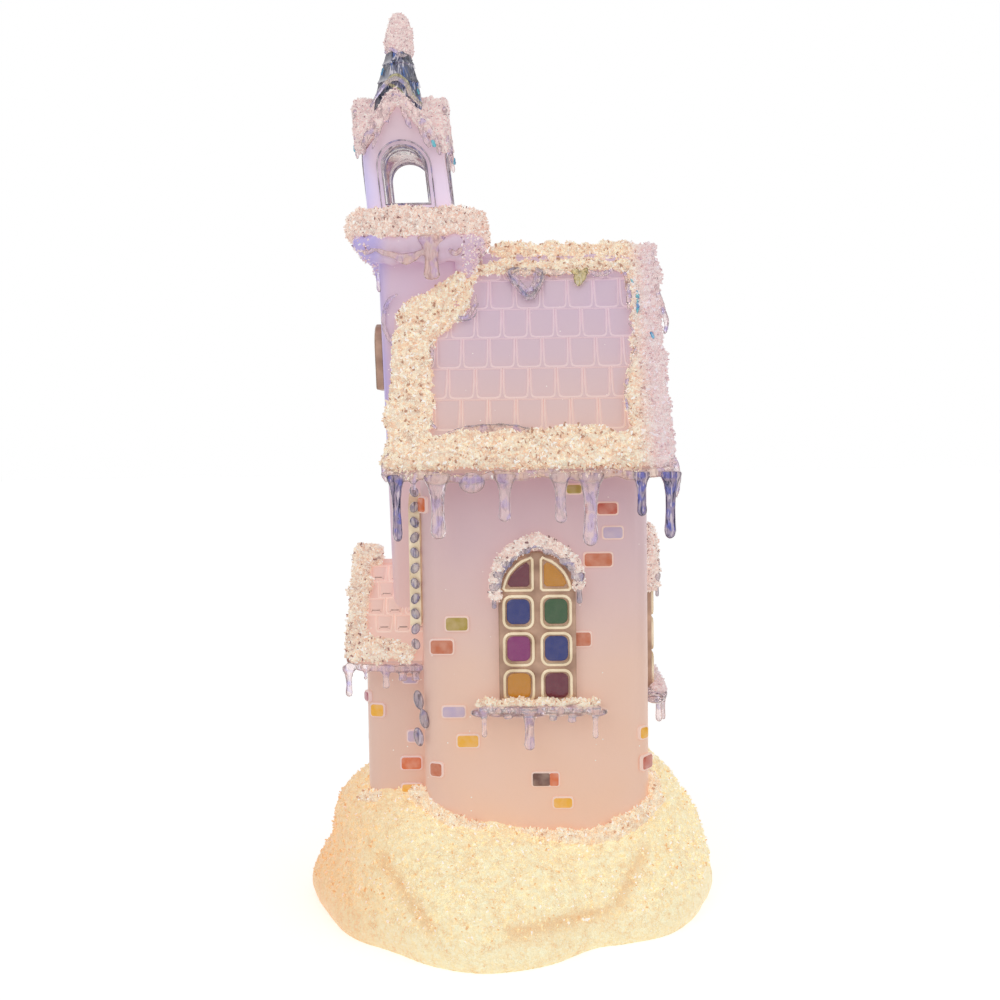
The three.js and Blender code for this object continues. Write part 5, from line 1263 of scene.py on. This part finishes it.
def makeEaveIce():
    y, top = eaveIce["y"], eaveIce["top"]
    for name, side in (("Near", Matrix.Identity(4)), ("Far", farSide)):
        for skinName, drops in eaveIce["drops"].items():
            bm = bmesh.new()
            for x, half, drop in drops:
                icicle(bm, x, y, top - 0.4, half, drop, lean=0.02 * math.sin(x), flat=0.75)
            if skinName == "iceClear":
                blob(bm, -9.1, y - 0.2, top - 1.4, 4.2, 1.5, 3.4)
                for run in eaveIce["ends"]:
                    strand(bm, [(x, y - 0.2, z) for x, z in run], 1.0)
            bm = fused(bm, 0.36, 3)
            moved(bm, side)
            addPiece(skinName.replace("ice", "icicles") + name, bm, skinName, angle=180)
        bm = bmesh.new()
        line = curveThrough([(x, y + 0.2, z + 0.4) for x, z in eaveIce["line"]], 6)
        sweep(bm, line, [1.5 + 0.25 * math.sin(i * 0.9) for i in range(len(line))], 10)
        for x, half, _ in eaveIce["drops"]["iceClear"] + eaveIce["drops"]["iceNavy"]:
            blob(bm, x, y, top, half * 1.35, 1.5, 1.9)
        bm = fused(bm, 0.42, 3)
        moved(bm, side)
        scatter("eaveCrystals" + name, bm, eaveIce["crystals"], "snowCream", lambda c, n: c[:, 2] > top + 0.2)
        addPiece("eaveIce" + name, bm, "iceWarm", ["eave_ice_" + name.lower()], angle=180)


makeEaveIce()

cornice = {
    "x": -27.6, "front": -20.6, "roofSide": 90, "tallSide": 270,
    "swags": [
        ([(-12, 222), (-7.5, 218.4), (-3.1, 215.6), (1.5, 218.2), (5, 221.6)], 0.9),
        ([(-14.5, 221), (-9, 218.6), (-3, 217.6), (4, 219.6)], 1.2),
        ([(10, 222), (13, 218), (16, 221.5)], 0.9), ([(-19, 222), (-15.5, 219), (-12, 222)], 0.9),
    ],
    "wide": (5.3, 3.4, 12.4), "wideTop": 222.2, "lump": (3.2, 3.2, 2.9), "lumps": 9, "lumpStep": (4.4, -0.5),
    "skirt": [(19.5, 222), (17.4, 218.5), (15.4, 214.5)],
    "grains": {"perArea": 1.0, "stand": 0.7, "length": (0.4, 1.0), "seed": 52},
}


def makeCorniceIce():
    around = Matrix.Translation((cornice["x"], 0, 0))
    body, clear = bmesh.new(), bmesh.new()
    for turn in (0, 90, 180, 270):
        if turn == cornice["roofSide"]:
            continue
        rotate = around @ Matrix.Rotation(math.radians(-turn), 4, "Z")
        for row, (out, z) in enumerate(cornice["skirt"][: 3 if turn == cornice["tallSide"] else 2]):
            for k in range(cornice["lumps"]):
                first, less = cornice["lumpStep"]
                x = (k - cornice["lumps"] // 2) * (first + less * row)
                spot = rotate @ Vector((x, -out, z + 0.6 * math.sin(k * 1.9 + row)))
                blob(body, *spot, *cornice["lump"])
        known = set(clear.verts)
        for run, wide in cornice["swags"]:
            strand(clear, [(x, cornice["front"], z) for x, z in run], wide)
        if turn != cornice["tallSide"]:
            x, half, drop = cornice["wide"]
            icicle(clear, x, cornice["front"] - 0.3, cornice["wideTop"], half, drop, flat=0.6)
        moved(clear, rotate, [v for v in clear.verts if v not in known])
    body = fused(body, 0.7, 3)
    aside = lambda c, n: np.abs(c[:, 0] - cornice["x"]) > 15
    scatter("corniceGrains", body, cornice["grains"], "snowPink", aside)
    addPiece("corniceSkirt", body, "towerFrost", ["cornice_ice"], angle=180)
    addPiece("corniceIce", fused(clear, 0.4, 3), "iceWarm", angle=180)


makeCorniceIce()

window = {
    "half": 12.35, "spring": 35.5, "rise": 13.6, "plate": 2.7, "rim": 1.0, "foot": 73.0,
    "paneWidth": 8.6, "paneTall": 9.5, "pitchX": 12.0, "pitchZ": 11.9, "firstZ": 6, "corner": 2.4,
    "border": 1.9,
    "sunk": 0.4, "tray": (0.75, 1.15, 1.0), "paneInset": -0.62, "paneRise": 0.35, "paneDrop": 0.275,
    "archDrop": 0.15,
    "colours": [["gold", "burgundy"], ["magenta", "blue"], ["blue", "green"], ["burgundy", "gold"]],
}
sill = {
    "top": [(-18.2, 2.4), (-13, 2.7), (-6, 2.2), (0, 2.6), (6, 2.3), (12, 2.7), (18.6, 2.4)],
    "drops": [
        (-17.2, 1.2, 8.2), (-2.9, 2.2, 12.4), (10.6, 1.8, 3.6), (18, 1.3, 8.8), (-9.6, 1.9, 2.4),
        (4.6, 1.7, 3),
    ],
    "y": -5.9,
    "root": -1.6, "lump": (3.6, 3.2, 1.6), "lumpPlace": (-3.2, -2.4),
    "capHalf": 18, "capBlobs": 16, "capPlace": (-4.9, 0.9), "capBlob": (2.0, 2.4, 1.3),
    "crystals": {"perArea": 2.2, "stand": 0.8, "length": (0.4, 1.0), "seed": 41},
}
windowPlaces = {"Near": (10.6, -33.0, 0), "Back": (46.5, 0.0, 90), "Far": (9.1, 33.0, 180)}


def windowPlace(key):
    x, y, turn = windowPlaces[key]
    return Matrix.Translation((x, y, window["foot"])) @ Matrix.Rotation(math.radians(turn), 4, "Z")


def archOutline(half, spring, rise, steps=14, foot=0.0):
    radius = (half * half + rise * rise) / (2 * half)
    reach = math.atan2(rise, radius - half)
    turns = [reach * k / steps for k in range(steps + 1)]
    right = [(half - radius + radius * math.cos(t), spring + radius * math.sin(t)) for t in turns]
    left = [(-x, z) for x, z in right[:-1]][::-1]
    return [(-half, foot), (half, foot)] + right + left


def makeSills():
    for key in windowPlaces:
        place = windowPlace(key)
        bm = bmesh.new()
        line = curveThrough([(x, sill["y"] + 0.3, z - 3.4) for x, z in sill["top"]], 5)
        sweep(bm, line, [1.7 + 0.25 * math.sin(i * 1.3) for i in range(len(line))], 10)
        for x, _ in sill["top"]:
            blob(bm, x, *sill["lumpPlace"], *sill["lump"])
        for x, half, drop in sill["drops"]:
            icicle(bm, x, sill["y"] - 0.2, sill["root"], half, drop, flat=0.75)
        bm = fused(bm, 0.36, 3)
        moved(bm, place)
        addPiece("sillIce" + key, bm, "iceClear", ["window_sill_" + key.lower()], angle=180)
        cap = bmesh.new()
        capY, capZ = sill["capPlace"]
        for k in range(sill["capBlobs"]):
            x = -sill["capHalf"] + 2 * sill["capHalf"] * k / (sill["capBlobs"] - 1)
            blob(cap, x, capY, capZ + 0.4 * math.sin(k * 1.7), *sill["capBlob"])
        cap = fused(cap, 0.4, 2)
        roughen(cap, ((2.2, 0.6), (1.0, 0.5)))
        moved(cap, place)
        scatter("sillCrystals" + key, cap, sill["crystals"], "snowCream", lambda c, n: n[:, 2] > -0.1)
        addPiece("sillSnow" + key, cap, "snowCream", angle=80)


makeSills()

hood = {
    "run": [
        (-13.2, 34.6), (-13.4, 39), (-12.2, 44), (-8.4, 48.6), (-4, 51.2), (0, 52.6), (4, 51.2), (8.4, 48.6),
        (12.2, 44.4), (13.3, 40), (13, 38),
    ],
    "thick": 1.9, "deep": 2.6, "snowY": -2.9, "dropY": -4.6, "lumpY": -4.9, "runY": -4.7,
    "drops": [
        (-13.6, 37.4, 1.1, 6.4), (-12.6, 41.2, 1.0, 3.6), (13.4, 40.6, 1.3, 8.2), (11.4, 43.6, 1.0, 3.4),
    ],
    "lumps": [(-9.6, 45.4, 1.7), (9.2, 46, 1.7), (-3.4, 49.4, 1.3), (3.6, 49.2, 1.4)],
    "crystals": {"perArea": 2.0, "stand": 0.7, "length": (0.4, 1.1)}, "firstSeed": 28,
}


def makeHoods():
    for number, key in enumerate(windowPlaces):
        place = windowPlace(key)
        snow, ice = bmesh.new(), bmesh.new()
        for i, p in enumerate(curveThrough([(x, hood["snowY"], z) for x, z in hood["run"]], 3)):
            grow = hood["thick"] * (0.85 + 0.35 * math.sin(math.pi * i / 30) + 0.1 * math.sin(i * 2.2))
            blob(snow, *p, grow, hood["deep"], grow)
        snow = fused(snow, 0.45, 2)
        roughen(snow, ((3, 0.6), (1.3, 0.5)))
        moved(snow, place)
        for x, z, half, drop in hood["drops"]:
            icicle(ice, x, hood["dropY"], z, half, drop, flat=0.8)
        for x, z, r in hood["lumps"]:
            blob(ice, x, hood["lumpY"], z, r * 1.3, 0.9, r * 0.8)
        strand(ice, [(x * 0.86, hood["runY"], z - 1.6) for x, z in hood["run"][1:-2]], 0.65)
        ice = fused(ice, 0.34, 3)
        moved(ice, place)
        crystals = {**hood["crystals"], "seed": hood["firstSeed"] + number}
        scatter("hoodCrystals" + key, snow, crystals, "snowHood")
        addPiece("hoodSnow" + key, snow, "snowHood", ["window_hood_" + key.lower()], angle=80)
        addPiece("hoodIce" + key, ice, "iceSmoke", angle=180)


makeHoods()
print("ice made")

# arched windows: plate, raised rims and coloured panes
paneColours = {
    "gold": (206, 136, 10), "burgundy": (108, 14, 46), "magenta": (140, 22, 110), "blue": (10, 32, 120),
    "green": (38, 84, 36),
}


def paneOutline(row, side, grow):
    # the lower panes are rounded oblongs, and the top pair follows the pointed arch
    if row < 3:
        halfX, halfZ = window["paneWidth"] / 2 + grow, window["paneTall"] / 2 + grow
        cx, cz = side * window["pitchX"] / 2, window["firstZ"] + row * window["pitchZ"]
        points = roundedPoints(halfX, halfZ, window["corner"] + grow * 0.6, 5)
        return [(cx + x, cz + z) for x, z in points]
    foot = window["firstZ"] + 2.5 * window["pitchZ"] + 1.4 - grow
    inner = (window["pitchX"] - window["paneWidth"]) / 2 - grow
    radius = (window["half"] ** 2 + window["rise"] ** 2) / (2 * window["half"])
    reach = radius - window["border"] + grow
    middle = radius - window["half"]
    top = window["spring"] + math.sqrt(reach ** 2 - (inner + 0.9 + middle) ** 2)
    arc = []
    for k in range(9):
        z = foot + 0.9 + (top - foot - 0.9) * k / 8
        arc.append((math.sqrt(reach ** 2 - (z - window["spring"]) ** 2) - middle, z))
    lowRight = (arc[0][0] - 0.9, foot)
    points = [(inner + 0.8, foot), lowRight] + arc + [(inner, top - 1.0), (inner, foot + 0.8)]
    return [(side * x, z) for x, z in points][::side]


def raisedTray(bm, outline, low, high, rimWide, sink):
    # a rim standing round a sunk floor; the floor is painted shadow
    known = set(bm.faces)
    front = raised(bm, [(x, -low, z) for x, z in outline], (0, low - high + 0.2, 0))
    for share, push in ((0.3, -0.2), (0.4, 0), (0.3, sink)):
        stepped(bm, front, rimWide * share, (0, push, 0))
    for f in bm.faces:
        if f not in known:
            f.material_index = 1
    front.material_index = 2


def pane(bm, outline, low, high, colour):
    known = set(bm.faces)
    front = raised(bm, [(x, -low, z) for x, z in outline], (0, low - high, 0))
    for thickness, rise in ((0.35, 0.22), (0.7, 0.12)):
        stepped(bm, front, thickness, (0, -rise, 0))
    stained(bm, [f for f in bm.faces if f not in known], colour)


def makeWindows():
    low, plate = window["plate"] - window["sunk"], window["plate"]
    grow, rimWide, deep = window["tray"]
    for key in windowPlaces:
        bm, glass = bmesh.new(), bmesh.new()
        glass.loops.layers.float_color.new("tint")
        outline = archOutline(window["half"], window["spring"], window["rise"])
        front = raised(bm, [(x, 0.3, z) for x, z in outline], (0, -plate - 0.1, 0))
        stepped(bm, front, 0.4, (0, -0.3, 0))
        for row, colours in enumerate(window["colours"]):
            middle = window["firstZ"] + row * window["pitchZ"]
            drop = window["paneDrop"] if row < 3 else window["archDrop"]
            for side, colour in zip((-1, 1), colours):
                raisedTray(bm, paneOutline(row, side, grow), low, plate + window["rim"], rimWide, deep)
                # each pane's foot is lifted in its tray, baring a strip of the recess floor in painted shadow
                inside = paneOutline(row, side, window["paneInset"])
                shape = [(x, z + drop if z < middle else z) for x, z in inside]
                pane(glass, shape, low, plate + window["paneRise"], paneColours[colour])
        moved(bm, windowPlace(key))
        moved(glass, windowPlace(key))
        frameSkins = ["goldPlate", "goldRimLit", "recessShadow"]
        addPiece(
            "windowFrame" + key, bm, frameSkins, ["window_frame_" + key.lower()], angle=40,
        )
        addPiece(
            "windowPanes" + key, glass, "paneGlass", ["window_glass_" + key.lower()],
            angle=40,
        )


makeWindows()
print("windows made")

# belfry, spire and the small ice
belfry = {
    "foot": (-30.0, 234.4), "lean": 0.1, "iceFront": -15.2, "openingHalf": 7.6, "wallReach": 13.2,
    "arch": (7.35, 11.9, 7.35), "archFoot": 1.3,
    "rims": [(1.6, 14.1, 0.26), (0.1, 14.0, 0.3), (-0.5, 12.4, 0.24), (-0.7, 9.6, 0.26)],
    "slopes": [
        ([(0, 37.6), (-4.2, 33), (-8.6, 27), (-12.8, 20)], 1.5),
        ([(0.3, 37.6), (4.6, 32.6), (8.6, 27), (12.2, 21.6)], 1.4),
        ([(-1, 34.9), (-4.6, 29.5), (-7.1, 24.7), (-9.8, 18.9)], 0.9),
        ([(1.4, 32.9), (2.6, 29), (3.8, 25.4)], 1.0),
        ([(6.4, 27.6), (7.8, 23.1), (9.3, 19.2)], 1.1), ([(-2.2, 35), (-3.4, 31), (-3.7, 27.5)], 1.0),
        ([(11.3, 24), (12, 19.5), (12.4, 16.5)], 0.9), ([(-11.2, 24.6), (-12.4, 20), (-12.8, 17)], 0.9),
    ],
    "blue": [([(10.4, 21.6), (11, 19.2)], 0.7)],
    "grains": {"perArea": 0.5, "stand": 0.7, "length": (0.3, 0.8), "seed": 53},
    "bevel": 0.0007,
}


def belfryPlace(turn):
    x, z = belfry["foot"]
    return Matrix.Translation((x, 0, z)) @ leaning(belfry["lean"]) @ Matrix.Rotation(
        math.radians(turn), 4, "Z",
    )


def makeBelfry():
    bm = fromNode("belfry_walls")
    bmesh.ops.dissolve_limit(bm, angle_limit=math.radians(1.5), verts=bm.verts, edges=bm.edges)
    x0, z0 = belfry["foot"]
    for f in bm.faces:
        c = f.calc_center_median()
        x, y = abs(c.x - x0 + belfry["lean"] * (c.z - z0)), abs(c.y)
        if min(x, y) < belfry["openingHalf"] and max(x, y) < belfry["wallReach"]:
            f.material_index = 1  # inside the openings
    piece = addPiece(
        "belfryWalls", bm, ["belfryFrost", "iceWarm"], ["belfry_walls"], angle=40,
    )
    soften = piece.modifiers.new("soften", "BEVEL")
    soften.width = belfry["bevel"]
    soften.segments = 3
    soften.limit_method = "ANGLE"
    soften.angle_limit = math.radians(40)
    rims, ice, blue = bmesh.new(), bmesh.new(), bmesh.new()
    half, spring, rise = belfry["arch"]
    for turn in (0, 90, 180, 270):
        known = [set(m.verts) for m in (rims, ice, blue)]
        for grow, out, wide in belfry["rims"]:
            arch = archOutline(half + grow, spring, rise + grow, 10, -grow)[1:] + [(-half - grow, -grow)]
            line = [Vector((x, -out, z + belfry["archFoot"])) for x, z in arch]
            sweep(rims, line, [wide] * len(line), 8, closed=True, front=(0, -1, 0.01))
        for run, wide in belfry["slopes"]:
            strand(ice, [(x, belfry["iceFront"], h) for x, h in run], wide)
        for run, wide in belfry["blue"]:
            strand(blue, [(x, belfry["iceFront"] - 0.7, h) for x, h in run], wide)
        for m, older in zip((rims, ice, blue), known):
            moved(m, belfryPlace(turn), [v for v in m.verts if v not in older])
    addPiece("belfryRims", rims, "iceSmoke", angle=60)
    ice = fused(ice, 0.4, 2)
    scatter("belfryGrains", ice, belfry["grains"], "snowPink", lambda c, n: n[:, 2] > 0.1)
    addPiece("belfryIce", ice, "iceClear", angle=180)
    addPiece("belfryBlueIce", blue, "iceTurquoise", angle=180)


makeBelfry()

spire = {
    "x": -33.9, "sides": 8,
    "profile": [
        (0, 265), (9.4, 266), (8.3, 274), (7.3, 277.8), (7.7, 278.2), (7.0, 279.4), (5.5, 284), (5.9, 284.4),
        (5.2, 285.6), (4.2, 289), (0, 290),
    ],
    "cap": [
        (0, 286.6), (3.6, 287), (4.6, 288.8), (4.8, 291.6), (4.3, 295.6), (3.5, 298.8), (2.4, 301),
        (1.2, 302), (0, 302.3),
    ],
    "swirl": [(-8.6, 270), (-4.6, 276.4), (-0.6, 279.4), (3, 277.4), (4.6, 273.6), (8.2, 270)],
    "lump": (3.3, 1.7, 1.9), "lumps": 9, "lumpTurn": 2.4, "lumpFoot": 289, "lumpClimb": 0.9,
    "crystals": {"perArea": 1.8, "stand": 0.5, "length": (0.3, 0.8), "seed": 26},
}

spireRuns = {
    "iceClear": [
        ([(-4.4, -4.2, 287.6), (-2.6, -5, 289), (-0.4, -5, 288), (1.6, -5, 286.6), (3.6, -4.4, 287)], 0.7),
        ([(x * 1.05, -8.4, z - 1.2) for x, z in spire["swirl"]], 0.9),
    ],
    "iceGold": [
        ([(x, -8.0 + abs(x) * 0.2, z) for x, z in spire["swirl"][1:]], 0.8),
        ([(-3.4, -7.4, 277), (-0.4, -7.4, 275.4), (2.6, -7.8, 273)], 0.7),
    ],
    "iceTurquoise": [
        ([(-4.9, -3.2, 283.4), (-5.7, -3.6, 280.4)], 0.5), ([(6.5, -4.4, 276), (7.2, -4.6, 273.6)], 0.5),
    ],
}


def makeSpire():
    bm = bmesh.new()
    upright = Matrix.Translation((spire["x"], 0, 0)) @ Matrix.Rotation(math.pi / 8, 4, "Z")
    turned(bm, spire["profile"], upright, spire["sides"])
    addPiece("spireIce", bm, "iceSpire", ["spire"], angle=20)
    cap = bmesh.new()
    capX = spire["x"] + 0.3
    turned(cap, spire["cap"], Matrix.Translation((capX, 0, 0)), 16)
    out, wide, tall = spire["lump"]
    for k in range(spire["lumps"]):
        angle = k * spire["lumpTurn"]
        z = spire["lumpFoot"] + k * spire["lumpClimb"]
        blob(cap, capX + out * math.cos(angle), out * math.sin(angle), z, wide, wide, tall)
    cap = fused(cap, 0.45, 2)
    roughen(cap, ((3, 0.5), (1.2, 0.4)))
    scatter("spireCrystals", cap, spire["crystals"], "snowPink")
    addPiece("spireSnow", cap, "snowPink", ["spire_snow_cap"], angle=80)
    around = Matrix.Translation((spire["x"], 0, 0))
    for skinName, runs in spireRuns.items():
        strands = bmesh.new()
        for turn in (0, 180):
            known = set(strands.verts)
            for run, wide in runs:
                strand(strands, run, wide)
            rotate = around @ Matrix.Rotation(math.radians(turn), 4, "Z")
            moved(strands, rotate, [v for v in strands.verts if v not in known])
        addPiece(skinName.replace("ice", "spireRun"), fused(strands, 0.32, 2), skinName, angle=180)


makeSpire()

small = {
    "chain": [(-28.6, 141.2), (-28.9, 91.6)], "lenses": 11, "chainY": -28.9, "lens": (1.5, 1.3, 2.0),
    "lensTurn": 0.45,
    "corner": [(-29.2, 73.6), (-27.4, 67.2), (-29.4, 61.4)], "cornerY": -30.4, "cornerDrop": (1.7, 1.5, 3.3),
    "tower": [
        [
            (-34.2, -14.6, 206.2), (-37.5, -14.4, 203.7), (-39.2, -13.4, 197.9), (-38, -13.9, 192.6),
            (-35.4, -14.4, 188.6),
        ],
        [(-41, -11.5, 214), (-40.6, -12.4, 207)],
    ],
    "porchRoot": (-26.8, 82.6),
    "porchRun": [
        (-52, -26.6, 84.4), (-46, -26.8, 83.6), (-40, -26.8, 83.4), (-34, -26.8, 83), (-29, -26.6, 83.6),
    ],
    "porch": [(-51.3, 1.5, 8.6), (-45.8, 0.8, 3), (-39.1, 1.5, 6), (-33.6, 1.9, 3.6), (-29.4, 1.8, 3.6)],
}


def makeSmallIce():
    chain, drops, sheet, eaves = (bmesh.new() for _ in range(4))
    (x0, z0), (x1, z1) = small["chain"]
    for k in range(small["lenses"]):
        t = k / (small["lenses"] - 1)
        turn = Matrix.Rotation(small["lensTurn"] * (1 if k % 2 else -1), 4, "Y")
        blob(chain, x0 + (x1 - x0) * t, small["chainY"], z0 + (z1 - z0) * t, *small["lens"], turn)
    for x, z in small["corner"]:
        turn = Matrix.Rotation(0.2 * math.sin(z), 4, "Y")
        blob(drops, x + 1, small["cornerY"], z, *small["cornerDrop"], turn)
    for run in small["tower"]:
        strand(sheet, run, 0.9)
    for x, half, drop in small["porch"]:
        icicle(eaves, x, *small["porchRoot"], half, drop, flat=0.8)
    line = curveThrough(small["porchRun"], 6)
    sweep(eaves, line, [1.3] * len(line))
    for name, bm, skinName, nodes, voxel in (
        ("lensChain", chain, "iceSmoke", (), 0.35),
        ("cornerDrops", drops, "iceSmoke", ("corner_drop",), 0.35),
        ("towerIce", sheet, "iceClear", (), 0.35),
        ("porchIcicles", eaves, "iceClear", (), 0.4),
    ):
        addBoth(name, fused(bm, voxel), skinName, nodes)


makeSmallIce()
print("belfry and spire made")

# the narrow windows beside the porch keep their solids, in the lit copy of the gold, painted lighter
for node in ("front_window_near", "front_window_far"):
    frame["nodes"][node].data.materials[0] = skins["goldRimLit"]
